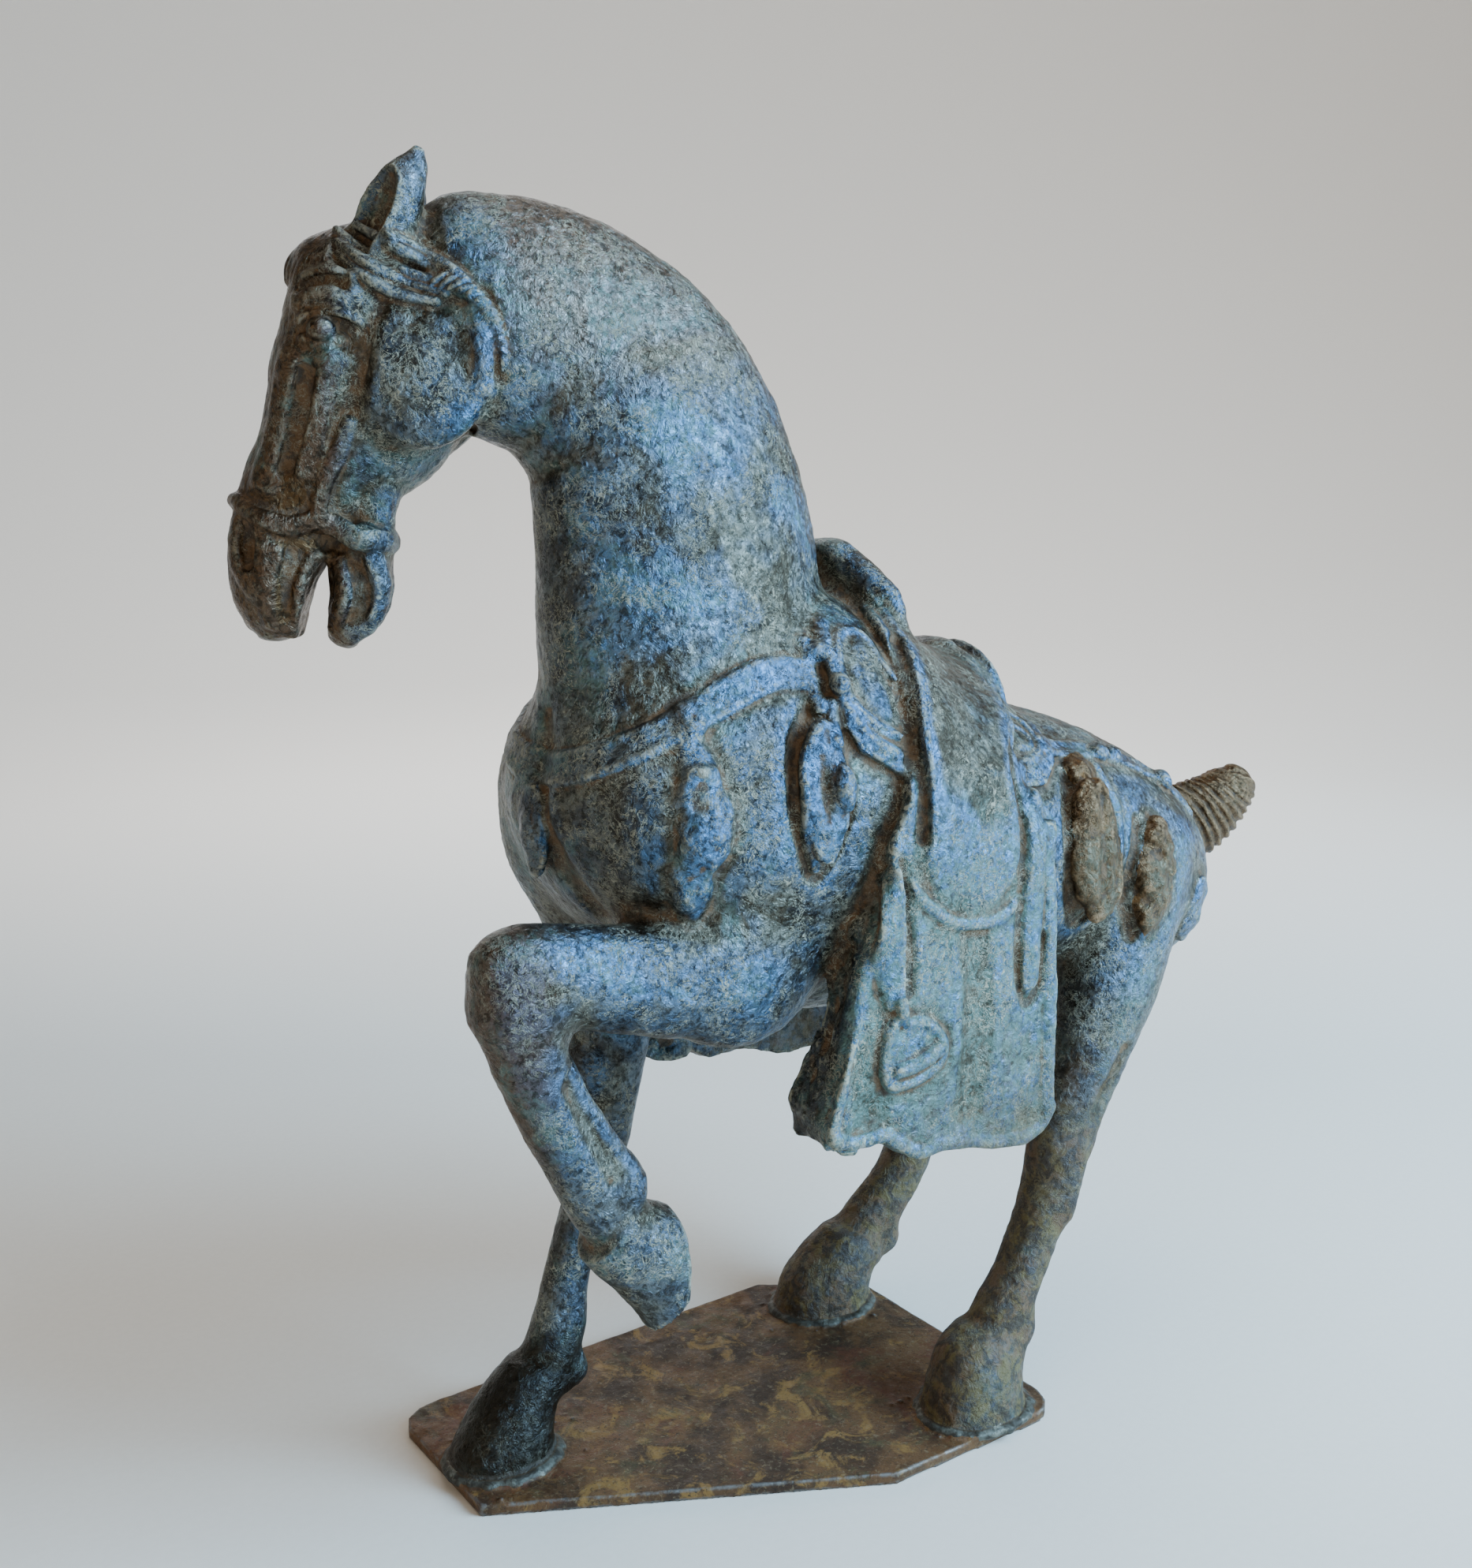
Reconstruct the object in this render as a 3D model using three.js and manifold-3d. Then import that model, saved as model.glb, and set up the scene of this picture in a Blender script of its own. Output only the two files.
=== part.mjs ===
// A prancing, saddled horse in cast bronze, welded by three hooves to a thin steel base plate.
// Millimetres, +Z up. The horse faces -X and its left side is -Y.
// The origin is the middle of the plate's underside, which is the face the statue rests on.
import * as THREE from "three";
import { mergeVertices } from "three/addons/utils/BufferGeometryUtils.js";
import Module from "manifold-3d";

const wasm = await Module();
wasm.setup();

// Driving dimensions
const GAP = 0.4; // clearance between neighbouring castings
const PLATE_THICK = 4;
const CLOTH_THICK = 4; // saddle cloth over the back
const SKIRT_THICK = 6; // saddle skirts over the cloth
const FLAP_OUTER_Y = 66; // outer face of a mudguard, from the middle of the horse
const FLAP_THICK = 12;
const HEAD_TURN = THREE.MathUtils.degToRad(30); // the head looks to the horse's right
const POLL = new THREE.Vector3(-83, 15, 386); // where the neck meets the head
const SIDES = [
  ["left", -1],
  ["right", 1],
];

// Finishes
const bronze = { color: 0x4f565c, roughness: 0.55, metalness: 0.85 };
const brownBronze = { color: 0x5b4c39, roughness: 0.65, metalness: 0.7 };
const steel = { color: 0x3d362d, roughness: 0.7, metalness: 0.6 };
const weldMetal = { color: 0x8c9ba3, roughness: 0.45, metalness: 0.9 };

// --- Solids --------------------------------------------------------------------------------

// A closed geometry as a manifold solid.
function solid(geometry) {
  const bare = geometry.clone();
  bare.deleteAttribute("normal");
  bare.deleteAttribute("uv");
  const merged = mergeVertices(bare, 1e-4);
  return new wasm.Manifold(
    new wasm.Mesh({
      numProp: 3,
      vertProperties: merged.attributes.position.array,
      triVerts: new Uint32Array(merged.index.array),
    }),
  );
}

// A manifold solid as a geometry with flat faces.
function geometryOf(body) {
  const mesh = body.getMesh();
  const geometry = new THREE.BufferGeometry();
  geometry.setAttribute("position", new THREE.BufferAttribute(mesh.vertProperties, mesh.numProp));
  geometry.setIndex(new THREE.BufferAttribute(mesh.triVerts, 1));
  geometry.computeVertexNormals();
  return geometry;
}

// A body through oval stations, each [x, y, z, half width, half depth]. Width lies across the
// horse, depth in its plane. With normal, every ring is square to that direction; without it,
// each ring is square to the centre line. grow adds to the body all round.
function loft(stations, { sides = 12, between = 2, normal = null, grow = 0 } = {}) {
  const centres = new THREE.CatmullRomCurve3(stations.map(([x, y, z]) => new THREE.Vector3(x, y, z)));
  const sizes = new THREE.CatmullRomCurve3(stations.map(([, , , w, d]) => new THREE.Vector3(w, d, 0)));
  const rings = (stations.length - 1) * between;
  const positions = [];
  const across = new THREE.Vector3();
  const deep = new THREE.Vector3();
  for (let ring = 0; ring <= rings; ring++) {
    const t = ring / rings;
    const along = normal ? normal.clone() : centres.getTangent(t);
    const centre = centres.getPoint(t);
    if (ring === 0) centre.addScaledVector(along, -grow);
    if (ring === rings) centre.addScaledVector(along, grow);
    const size = sizes.getPoint(t);
    across.set(0, 1, 0).addScaledVector(along, -along.y).normalize();
    deep.crossVectors(along, across);
    for (let side = 0; side < sides; side++) {
      const turn = (2 * Math.PI * side) / sides;
      const point = centre
        .clone()
        .addScaledVector(across, (Math.max(size.x, 1) + grow) * Math.cos(turn))
        .addScaledVector(deep, (Math.max(size.y, 1) + grow) * Math.sin(turn));
      positions.push(point.x, point.y, point.z);
    }
  }
  const faces = [];
  for (let ring = 0; ring < rings; ring++) {
    for (let side = 0; side < sides; side++) {
      const a = ring * sides + side;
      const b = ring * sides + ((side + 1) % sides);
      faces.push(a, b, a + sides, b, b + sides, a + sides);
    }
  }
  for (let side = 1; side < sides - 1; side++) {
    const last = rings * sides;
    faces.push(0, side + 1, side, last, last + side, last + side + 1);
  }
  const geometry = new THREE.BufferGeometry();
  geometry.setAttribute("position", new THREE.Float32BufferAttribute(positions, 3));
  geometry.setIndex(faces);
  return solid(geometry);
}

// A flat outline of [x, z] points, extruded across the horse between two values of y.
function slab(points, fromY, toY) {
  const shape = new THREE.Shape(points.map(([x, z]) => new THREE.Vector2(x, z)));
  const geometry = new THREE.ExtrudeGeometry(shape, { depth: toY - fromY, bevelEnabled: false });
  return solid(geometry.rotateX(Math.PI / 2).translate(0, toY, 0));
}

// The same outline pushed out from its middle by about `by` on every side.
function widened(points, by) {
  const box = new THREE.Box2().setFromPoints(points.map(([x, z]) => new THREE.Vector2(x, z)));
  const middle = box.getCenter(new THREE.Vector2());
  const size = box.getSize(new THREE.Vector2());
  const scaleX = 1 + (2 * by) / size.x;
  const scaleZ = 1 + (2 * by) / size.y;
  return points.map(([x, z]) => [middle.x + (x - middle.x) * scaleX, middle.y + (z - middle.y) * scaleZ]);
}

// Points of the left side moved to the given side: -1 leaves them, 1 mirrors them.
const onSide = (points, sign) => points.map(([x, y, ...rest]) => [x, y * -sign, ...rest]);

// A point given in the head's own directions: forward, to its right, and up from the poll.
const FORWARD = new THREE.Vector3(-Math.cos(HEAD_TURN), Math.sin(HEAD_TURN), 0);
const RIGHTWARD = new THREE.Vector3(Math.sin(HEAD_TURN), Math.cos(HEAD_TURN), 0);
function headPoint(forward, right, up) {
  return POLL.clone()
    .addScaledVector(FORWARD, forward)
    .addScaledVector(RIGHTWARD, right)
    .add(new THREE.Vector3(0, 0, up));
}
const headStations = (rows) => rows.map(([f, r, u, w, d]) => [...headPoint(f, r, u), w, d]);

// --- Main castings ---------------------------------------------------------------------------

const TORSO = [
  [-75, 0, 236, 16, 14],
  [-68, 0, 235, 38, 34],
  [-48, 2, 233, 51, 52],
  [-15, 1, 231, 57, 66],
  [20, 0, 229, 59, 74],
  [60, 0, 215, 59, 63],
  [100, 0, 206, 58, 56],
  [140, 0, 200, 57, 52],
  [172, 0, 191, 54, 49],
  [199, 0, 184, 45, 42],
  [215, 0, 180, 31, 30],
  [222, 0, 178, 14, 14],
];
const NECK = [
  [-14, 0, 240, 43, 50],
  [-20, 0, 284, 37, 51],
  [-24, 1, 324, 32, 48],
  [-35, 4, 358, 28, 43],
  [-55, 9, 378, 26, 39],
  [-80, 14, 386, 25, 36],
  [-92, 20, 386, 22, 31],
];
const SKULL = headStations([
  [27, 0, 25, 10, 10],
  [28, 0, 18, 19, 21],
  [29, 0, 4, 24, 28],
  [31, 0, -14, 25, 31],
  [36, 0, -28, 23, 29],
  [46, 0, -43, 19, 22],
  [56, 0, -56, 17, 19],
  [62, 0, -68, 17, 16],
  [65, 0, -79, 17, 13],
  [65, 0, -89, 15, 10],
  [64, 0, -94, 10, 6],
]);
const JAW = headStations([
  [34, 0, -52, 11, 7],
  [38, 0, -66, 12, 9],
  [40, 0, -78, 13, 10],
  [43, 0, -88, 13, 8],
  [46, 0, -95, 9, 5],
]);
const FOREARM = [
  [-2, -32, 205, 15, 26],
  [-22, -35, 186, 17, 27],
  [-44, -34, 185, 16, 22],
  [-66, -33, 188, 14, 17],
  [-90, -32, 193, 13, 16],
  [-107, -32, 191, 10, 12],
];
const FORE_CANNON = [
  [-101, -32, 184, 12, 14],
  [-98, -32, 170, 12, 13],
  [-91, -32, 153, 10, 11],
  [-82, -32, 134, 10, 10],
  [-75, -32, 121, 11, 12],
  [-67, -32, 110, 11, 11],
];
const FORE_HOOF_RAISED = [
  [-66, -32, 107, 12, 12],
  [-59, -32, 98, 14, 14],
  [-50, -32, 87, 14, 13],
  [-44, -32, 78, 12, 9],
];
const FORELEG_STANDING = [
  [-46, 35, 246, 16, 20],
  [-42, 36, 222, 21, 26],
  [-32, 36, 192, 19, 22],
  [-31, 33, 164, 15, 19],
  [-32, 31, 138, 12, 13],
  [-39, 30, 104, 9, 10],
  [-50, 30, 68, 8, 8],
  [-58, 29, 42, 10, 11],
  [-66, 28, 28, 10, 11],
];
const LEFT_HIND_LEG = [
  [170, -30, 205, 18, 26],
  [164, -36, 182, 22, 33],
  [149, -42, 155, 20, 29],
  [131, -46, 126, 15, 21],
  [118, -47, 98, 12, 17],
  [112, -47, 76, 11, 15],
  [102, -47, 54, 9, 12],
  [91, -48, 37, 10, 12],
];
const RIGHT_HIND_LEG = [
  [170, 30, 205, 18, 26],
  [161, 36, 182, 22, 33],
  [149, 41, 155, 20, 27],
  [140, 43, 126, 15, 20],
  [135, 44, 98, 12, 16],
  [133, 44, 76, 11, 14],
  [119, 43, 52, 9, 12],
  [101, 44, 34, 10, 12],
];
// The foot of each standing leg: [where the pastern enters, where the sole stands]
const STANDING_HOOVES = {
  left_hind: [
    [88, -48],
    [71, -50],
  ],
  right_hind: [
    [95, 44],
    [76, 43],
  ],
  right_fore: [
    [-67, 28],
    [-81, 25],
  ],
};
const HOOF_TOP_Z = 31;
const HOOF_TOP = [12, 13]; // half width and half depth at the coronet
const HOOF_SOLE = [17, 20];
const EAR = [
  [25, -14, 14, 9, 10],
  [23, -14, 26, 8, 10],
  [17, -14, 38, 5, 7],
  [14, -14, 43, 2, 3],
];
const TAIL = [
  [210, 0, 188, 13, 14],
  [229, -2, 189, 11, 12],
  [247, -6, 194, 9, 10],
  [259, -10, 205, 7, 8],
  [263, -12, 214, 4, 4],
];

const ALONG = new THREE.Vector3(1, 0, 0);
const UPWARD = new THREE.Vector3(0, 0, 1);
const torsoBody = (grow) => loft(TORSO, { sides: 18, normal: ALONG, grow });
const neckBody = (grow) => loft(NECK, { sides: 14, grow });
const skullBody = (grow) => loft(SKULL, { sides: 12, grow });

// A standing hoof: a cone leaning forward, flat on the plate.
function hoofBody([top, sole], grow) {
  const stations = [
    [...top, HOOF_TOP_Z, ...HOOF_TOP],
    [...sole, PLATE_THICK + GAP, ...HOOF_SOLE],
  ];
  return loft(stations, { sides: 12, between: 2, normal: UPWARD.clone().negate(), grow });
}

// The fillet of weld metal round the foot of a standing hoof.
function weldBody([, sole], hoofRoom) {
  const [w, d] = HOOF_SOLE;
  const stations = [
    [...sole, PLATE_THICK + GAP + 5, w - 3, d - 3],
    [...sole, PLATE_THICK + GAP, w + 3, d + 3],
  ];
  return loft(stations, { sides: 12, between: 1, normal: UPWARD.clone().negate() }).subtract(hoofRoom);
}

// The base plate: a rectangle with one long and one short corner cut off.
function platePlan() {
  const plan = new THREE.Shape();
  plan.moveTo(-101, 4);
  plan.lineTo(22, -64);
  plan.lineTo(88, -67);
  plan.quadraticCurveTo(100, -67, 100, -56);
  plan.lineTo(101, 42);
  plan.lineTo(64, 71);
  plan.lineTo(-84, 71);
  plan.quadraticCurveTo(-98, 71, -101, 60);
  plan.closePath();
  const pressed = { depth: PLATE_THICK, bevelEnabled: false, curveSegments: 4 };
  return solid(new THREE.ExtrudeGeometry(plan, pressed));
}

const bodies = {}; // each casting by name
const rooms = {}; // the same casting grown by the clearance, to cut its neighbours with
const finishes = {};
// Keeps the largest piece of what the cutting left.
function add(name, body, room, finish = bronze) {
  bodies[name] = body.decompose().sort((a, b) => b.volume() - a.volume())[0];
  rooms[name] = room;
  finishes[name] = finish;
}
const joined = (...list) => list.reduce((sum, next) => sum.add(next));

const torsoRoom = torsoBody(GAP);
const skullRoom = skullBody(GAP);
add("base_plate", platePlan(), null, steel);
add("torso", torsoBody(0), torsoRoom);
add("head", skullBody(0), skullRoom);
add("neck", neckBody(0).subtract(torsoRoom).subtract(skullRoom), neckBody(GAP));
add("lower_jaw", loft(JAW, { sides: 10 }).subtract(skullRoom), loft(JAW, { sides: 10, grow: GAP }));
for (const [side, sign] of SIDES) {
  const ear = headStations(onSide(EAR, sign));
  const crown = joined(skullRoom, rooms.neck);
  add(`${side}_ear`, loft(ear, { sides: 10 }).subtract(crown), loft(ear, { sides: 10, grow: GAP }));
}

const legs = {
  left_forearm: FOREARM,
  left_fore_cannon: FORE_CANNON,
  left_fore_hoof: FORE_HOOF_RAISED,
  right_foreleg: FORELEG_STANDING,
  left_hind_leg: LEFT_HIND_LEG,
  right_hind_leg: RIGHT_HIND_LEG,
};
let taken = torsoRoom.add(rooms.neck);
for (const [name, stations] of Object.entries(legs)) {
  add(name, loft(stations, { sides: 12 }).subtract(taken), loft(stations, { sides: 12, grow: GAP }));
  taken = taken.add(rooms[name]);
}
for (const [name, foot] of Object.entries(STANDING_HOOVES)) {
  add(`${name}_hoof`, hoofBody(foot, 0).subtract(taken), hoofBody(foot, GAP));
}
for (const [name, foot] of Object.entries(STANDING_HOOVES)) {
  add(`${name}_weld`, weldBody(foot, rooms[`${name}_hoof`]), null, weldMetal);
}
add("tail", loft(TAIL, { sides: 10 }).subtract(taken), loft(TAIL, { sides: 10, grow: GAP }), brownBronze);

// --- Saddlery that covers the back and flanks -------------------------------------------------

const CLOTH_OUTLINE = [
  [4, 330],
  [4, 262],
  [22, 244],
  [38, 232],
  [96, 232],
  [110, 240],
  [108, 330],
];
const SKIRT_OUTLINE = [
  [30, 268],
  [26, 240],
  [32, 214],
  [44, 200],
  [58, 196],
  [72, 202],
  [80, 216],
  [82, 240],
  [80, 258],
];
const FLAP_OUTLINE = [
  [18, 224],
  [4, 180],
  [-12, 134],
  [0, 127],
  [15, 124],
  [33, 115],
  [51, 118],
  [66, 111],
  [80, 109],
  [90, 116],
  [91, 150],
  [87, 224],
];
const SEAT = [
  [46, 0, 266, 30, 26],
  [60, 0, 262, 32, 24],
  [76, 0, 258, 32, 24],
  [98, 0, 252, 30, 24],
];
const HALF_SPAN = 100; // wider than the horse, for cutting outlines right across it
const clothReach = CLOTH_THICK + GAP;
const skirtReach = clothReach + SKIRT_THICK;

const cloth = torsoBody(CLOTH_THICK).intersect(slab(CLOTH_OUTLINE, -HALF_SPAN, HALF_SPAN));
const clothRoom = torsoBody(clothReach).intersect(slab(widened(CLOTH_OUTLINE, GAP), -HALF_SPAN, HALF_SPAN));
add("saddle_cloth", cloth.subtract(joined(torsoRoom, rooms.neck)), clothRoom);

for (const [side, sign] of SIDES) {
  const [near, far] = sign < 0 ? [-HALF_SPAN, -20] : [20, HALF_SPAN];
  const skirt = torsoBody(skirtReach).intersect(slab(SKIRT_OUTLINE, near, far));
  const room = torsoBody(skirtReach + GAP).intersect(slab(widened(SKIRT_OUTLINE, GAP), near, far));
  add(`${side}_saddle_skirt`, skirt.subtract(joined(torsoRoom, clothRoom)), room);

  const inner = FLAP_OUTER_Y - FLAP_THICK;
  const [fromY, toY] = sign < 0 ? [-FLAP_OUTER_Y, -inner] : [inner, FLAP_OUTER_Y];
  const flap = slab(FLAP_OUTLINE, fromY, toY);
  const flapRoom = slab(widened(FLAP_OUTLINE, GAP), fromY - GAP, toY + GAP);
  add(`${side}_mudguard`, flap.subtract(joined(taken, clothRoom, room)), flapRoom);
}

// Pommel and cantle are arches across the back, leaning with it.
function arch(x, crown, halfWidth, thick, lean) {
  const stations = [
    [x, 0, 225, halfWidth, thick],
    [x, 0, crown - 26, halfWidth, thick],
    [x - lean / 2, 0, crown - 10, halfWidth * 0.72, thick],
    [x - lean, 0, crown, halfWidth * 0.3, thick * 0.6],
  ];
  return (grow) => loft(stations, { sides: 14, normal: UPWARD, grow });
}
const skirtRooms = joined(rooms.left_saddle_skirt, rooms.right_saddle_skirt);
const saddleRoom = joined(torsoRoom, clothRoom, skirtRooms, rooms.neck);
const pommel = arch(52, 317, 33, 9, 3);
const cantle = arch(96, 281, 31, 9, 2);
add("saddle_pommel", pommel(0).subtract(saddleRoom), pommel(GAP));
add("saddle_cantle", cantle(0).subtract(saddleRoom), cantle(GAP));
const seatRoom = joined(saddleRoom, rooms.saddle_pommel, rooms.saddle_cantle);
const seatBody = (grow) => loft(SEAT, { sides: 16, normal: ALONG, grow });
add("saddle_seat", seatBody(0).subtract(seatRoom), seatBody(GAP));

// --- Raised work laid on the castings ----------------------------------------------------------

const castings = Object.values(bodies).map((body) => new THREE.Mesh(geometryOf(body)));
let covered = joined(...Object.values(rooms).filter(Boolean));

// Adds raised work made by build(grow), cut back to the surface it lies on.
function lay(name, build, finish = bronze) {
  const room = build(GAP);
  add(name, build(0).subtract(covered), room, finish);
  covered = covered.add(room);
}

// The first point of the castings met from `start` looking along `direction`, and its normal.
function surface(start, direction) {
  const ray = new THREE.Raycaster(start, direction.clone().normalize());
  const [hit] = ray.intersectObjects(castings);
  return { point: hit.point, normal: hit.face.normal };
}
// The surface met from outside at the given side, at [x, z].
function flank([x, z], sign) {
  return surface(new THREE.Vector3(x, 200 * sign, z), new THREE.Vector3(0, -sign, 0));
}
// The surface met from outside towards the head's own middle plane, at [forward, up].
function cheek([forward, up], sign) {
  return surface(headPoint(forward, 100 * sign, up), RIGHTWARD.clone().multiplyScalar(-sign));
}

// A rounded cord or strap that follows surface points.
function strap(points, radius) {
  const path = new THREE.CatmullRomCurve3(points);
  const steps = points.length * 2;
  return (grow) => {
    const section = new THREE.Shape().absarc(0, 0, radius + grow, 0, 2 * Math.PI);
    return solid(new THREE.ExtrudeGeometry(section, { steps, extrudePath: path, curveSegments: 3 }));
  };
}

// A boss or pendant: an ellipsoid [half width, half height, half thickness] lying on a surface.
function boss({ point, normal }, [w, h, t]) {
  const down = new THREE.Vector3(0, 0, -1).addScaledVector(normal, normal.z).normalize();
  const side = new THREE.Vector3().crossVectors(down, normal);
  const frame = new THREE.Matrix4().makeBasis(side, down, normal).setPosition(point);
  return (grow) => {
    const geometry = new THREE.SphereGeometry(1, 10, 6);
    return solid(geometry.scale(w + grow, h + grow, t + grow).applyMatrix4(frame));
  };
}

// Breast strap: from the saddle cloth on one side, round the chest, to the other.
const CHEST_MIDDLE_X = -12;
const breastStrap = [];
for (let turn = -105; turn <= 105; turn += 15) {
  const angle = THREE.MathUtils.degToRad(turn);
  const inward = new THREE.Vector3(Math.cos(angle), Math.sin(angle), 0);
  const height = 251 + 28 * Math.sin(angle) ** 2;
  const start = new THREE.Vector3(CHEST_MIDDLE_X, 0, height).addScaledVector(inward, -200);
  breastStrap.push(surface(start, inward).point);
}
lay("breast_strap", strap(breastStrap, 3.2));

// Crupper straps: from the saddle cloth over each haunch towards the tail.
const CRUPPER = [
  [116, 235],
  [130, 235],
  [146, 234],
  [162, 231],
  [178, 226],
  [190, 220],
  [200, 211],
];
// What hangs from the straps, and the small bosses: name, [x, z], half sizes, finish.
const PENDANTS = [
  ["shoulder_pendant", [-8, 246], [8, 27, 6], bronze],
  ["chest_pendant", [-46, 232], [8, 28, 8], bronze],
  ["croup_pendant", [118, 208], [11, 26, 7], brownBronze],
  ["thigh_pendant", [154, 194], [8, 20, 6], brownBronze],
  ["rump_pendant", [193, 170], [7, 16, 4], bronze],
  ["crupper_boss", [148, 244], [4.5, 4.5, 4], bronze],
  ["breast_boss", [-2, 290], [4.5, 4.5, 4.5], bronze],
];
for (const [side, sign] of SIDES) {
  lay(`${side}_crupper_strap`, strap(CRUPPER.map((at) => flank(at, sign).point), 2.8));
  for (const [name, at, size, finish] of PENDANTS) {
    lay(`${side}_${name}`, boss(flank(at, sign), size), finish);
  }
}
const chestFront = surface(new THREE.Vector3(-200, 0, 226), ALONG);
lay("centre_chest_pendant", boss(chestFront, [7, 17, 4]));

// Stirrup, its leather and the hanging thong, raised on each mudguard.
const LEATHER = [
  [14, 210],
  [14, 192],
  [16, 174],
];
const THONG = [
  [79, 224],
  [78, 200],
  [77, 182],
  [77, 166],
];
const STIRRUP = { x: 23, z: 157, radius: 10, bar: 2.4 };
for (const [side, sign] of SIDES) {
  lay(`${side}_stirrup_leather`, strap(LEATHER.map((at) => flank(at, sign).point), 3));
  lay(`${side}_saddle_thong`, strap(THONG.map((at) => flank(at, sign).point), 2.5));
  lay(`${side}_stirrup`, (grow) => {
    const ring = new THREE.TorusGeometry(STIRRUP.radius, STIRRUP.bar + grow, 6, 16);
    return solid(ring.rotateX(Math.PI / 2).translate(STIRRUP.x, sign * FLAP_OUTER_Y, STIRRUP.z));
  });
}

// Bridle: a noseband round the muzzle, cheek straps and the cheek rings of the bit.
const muzzleAxis = FORWARD.clone().multiplyScalar(0.39).setZ(-0.92).normalize();
const muzzleDepth = new THREE.Vector3().crossVectors(RIGHTWARD, muzzleAxis);
const NOSEBAND = { forward: 56, up: -58, halfDepth: 20, halfWidth: 17.5, bar: 2.4 };
lay("noseband", (grow) => {
  const bar = NOSEBAND.bar + grow;
  const ring = new THREE.TorusGeometry(1, bar / NOSEBAND.halfWidth, 6, 20);
  const frame = new THREE.Matrix4().makeBasis(
    muzzleDepth.clone().multiplyScalar(NOSEBAND.halfDepth),
    RIGHTWARD.clone().multiplyScalar(NOSEBAND.halfWidth),
    muzzleAxis.clone().multiplyScalar(NOSEBAND.halfWidth),
  );
  frame.setPosition(headPoint(NOSEBAND.forward, 0, NOSEBAND.up));
  return solid(ring.applyMatrix4(frame));
});
const CHEEK_STRAP = [
  [40, -32],
  [46, -44],
  [50, -54],
];
const BIT_AT = [37, -62];
const LOCK = [
  [40, 18],
  [24, 11],
  [9, 3],
  [0, -5],
  [-5, -14],
];
for (const [side, sign] of SIDES) {
  lay(`${side}_cheek_strap`, strap(CHEEK_STRAP.map((at) => cheek(at, sign).point), 2));
  lay(`${side}_bit_ring`, boss(cheek(BIT_AT, sign), [5, 5, 4]));
  lay(`${side}_side_lock`, strap(LOCK.map((at) => cheek(at, sign).point), 3.5));
}
lay("forelock", (grow) => {
  const tuft = new THREE.SphereGeometry(1, 10, 6).scale(10 + grow, 12 + grow, 9 + grow);
  const { x, y, z } = headPoint(46, 0, 14);
  return solid(tuft.translate(x, y, z));
});

// --- The statue --------------------------------------------------------------------------------

const horse = new THREE.Group();
for (const [name, body] of Object.entries(bodies)) {
  const mesh = new THREE.Mesh(geometryOf(body), new THREE.MeshStandardMaterial(finishes[name]));
  mesh.name = name;
  horse.add(mesh);
}

export default horse;
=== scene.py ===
"""A cast bronze prancing horse with its saddlery, welded by three hooves to a thin steel plate.

The castings are modelled as one block of clay: a grid of signed distances, in millimetres, that
shapes are pressed on to and carved out of. Each named piece is then cut from the clay as its own
closed mesh. The horse faces -X, its left side is -Y, and +Z is up, as in the CAD frame.
"""
import math

import bpy
import numpy as np
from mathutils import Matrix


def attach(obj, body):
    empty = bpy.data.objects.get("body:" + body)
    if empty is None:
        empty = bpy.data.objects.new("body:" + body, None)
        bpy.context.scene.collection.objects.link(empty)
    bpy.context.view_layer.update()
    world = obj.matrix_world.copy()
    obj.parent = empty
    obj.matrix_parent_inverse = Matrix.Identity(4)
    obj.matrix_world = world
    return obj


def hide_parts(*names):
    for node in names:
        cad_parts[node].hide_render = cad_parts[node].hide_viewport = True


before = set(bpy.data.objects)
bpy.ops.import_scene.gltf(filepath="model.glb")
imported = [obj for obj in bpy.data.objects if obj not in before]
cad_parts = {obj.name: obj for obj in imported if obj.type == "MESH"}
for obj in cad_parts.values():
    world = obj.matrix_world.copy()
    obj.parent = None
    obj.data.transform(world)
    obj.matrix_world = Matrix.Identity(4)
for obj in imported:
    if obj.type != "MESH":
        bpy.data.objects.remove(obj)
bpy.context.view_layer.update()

import openvdb as vdb
from mathutils import Matrix, Vector
from mathutils.geometry import tessellate_polygon

MM = 0.001
SPECK = 50  # a loose bit is a speck if it has under a fiftieth of its piece's corners
ROUGH_OUT = 1.0
BODY_CELL = 0.9 * ROUGH_OUT
HEAD_CELL = 0.55 * ROUGH_OUT
REACH = 13.0  # how far from a main casting its distances are known
FINE_REACH = 5.0  # the same for raised work
FAR = 13.0  # what the grid holds where a shape does not reach
FINE_BULGE = 1.6  # the two scales at which the surface is asked how convex it is
BROAD_BULGE = 5.0
PLATE_TOP = 4.0
HOOF_FOOT = 3.2  # the standing hooves are cut off level here, just inside the plate
GRAIN_STEP = 0.4
DIVE = 0.35  # how steeply a piece goes under its neighbour
LAP = 1.8  # how far it goes on under it
SIDES = (("left", -1), ("right", 1))
X_AXIS = np.array((1.0, 0.0, 0.0))
Y_AXIS = np.array((0.0, 1.0, 0.0))
Z_AXIS = np.array((0.0, 0.0, 1.0))


def vec(*values):
    return np.array(values, float)


def unit(v):
    """The same vectors, one unit long."""
    v = np.asarray(v, float)
    return v / np.maximum(np.linalg.norm(v, axis=-1, keepdims=True), 1e-9)


def spline(rows, count):
    """count rows along a smooth curve through the given rows."""
    rows = np.asarray(rows, float)
    last = len(rows) - 1
    ends = np.vstack([2 * rows[0] - rows[1], rows, 2 * rows[-1] - rows[-2]])
    t = np.linspace(0, last, count)
    i = np.minimum(t.astype(int), last - 1)
    u = (t - i)[:, None]
    a, b, c, d = ends[i], ends[i + 1], ends[i + 2], ends[i + 3]
    square = (2 * a - 5 * b + 4 * c - d) * u**2
    return 0.5 * (2 * b + (c - a) * u + square + (3 * b - a - 3 * c + d) * u**3)


# --- Meshes to press with -----------------------------------------------------------------------


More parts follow.
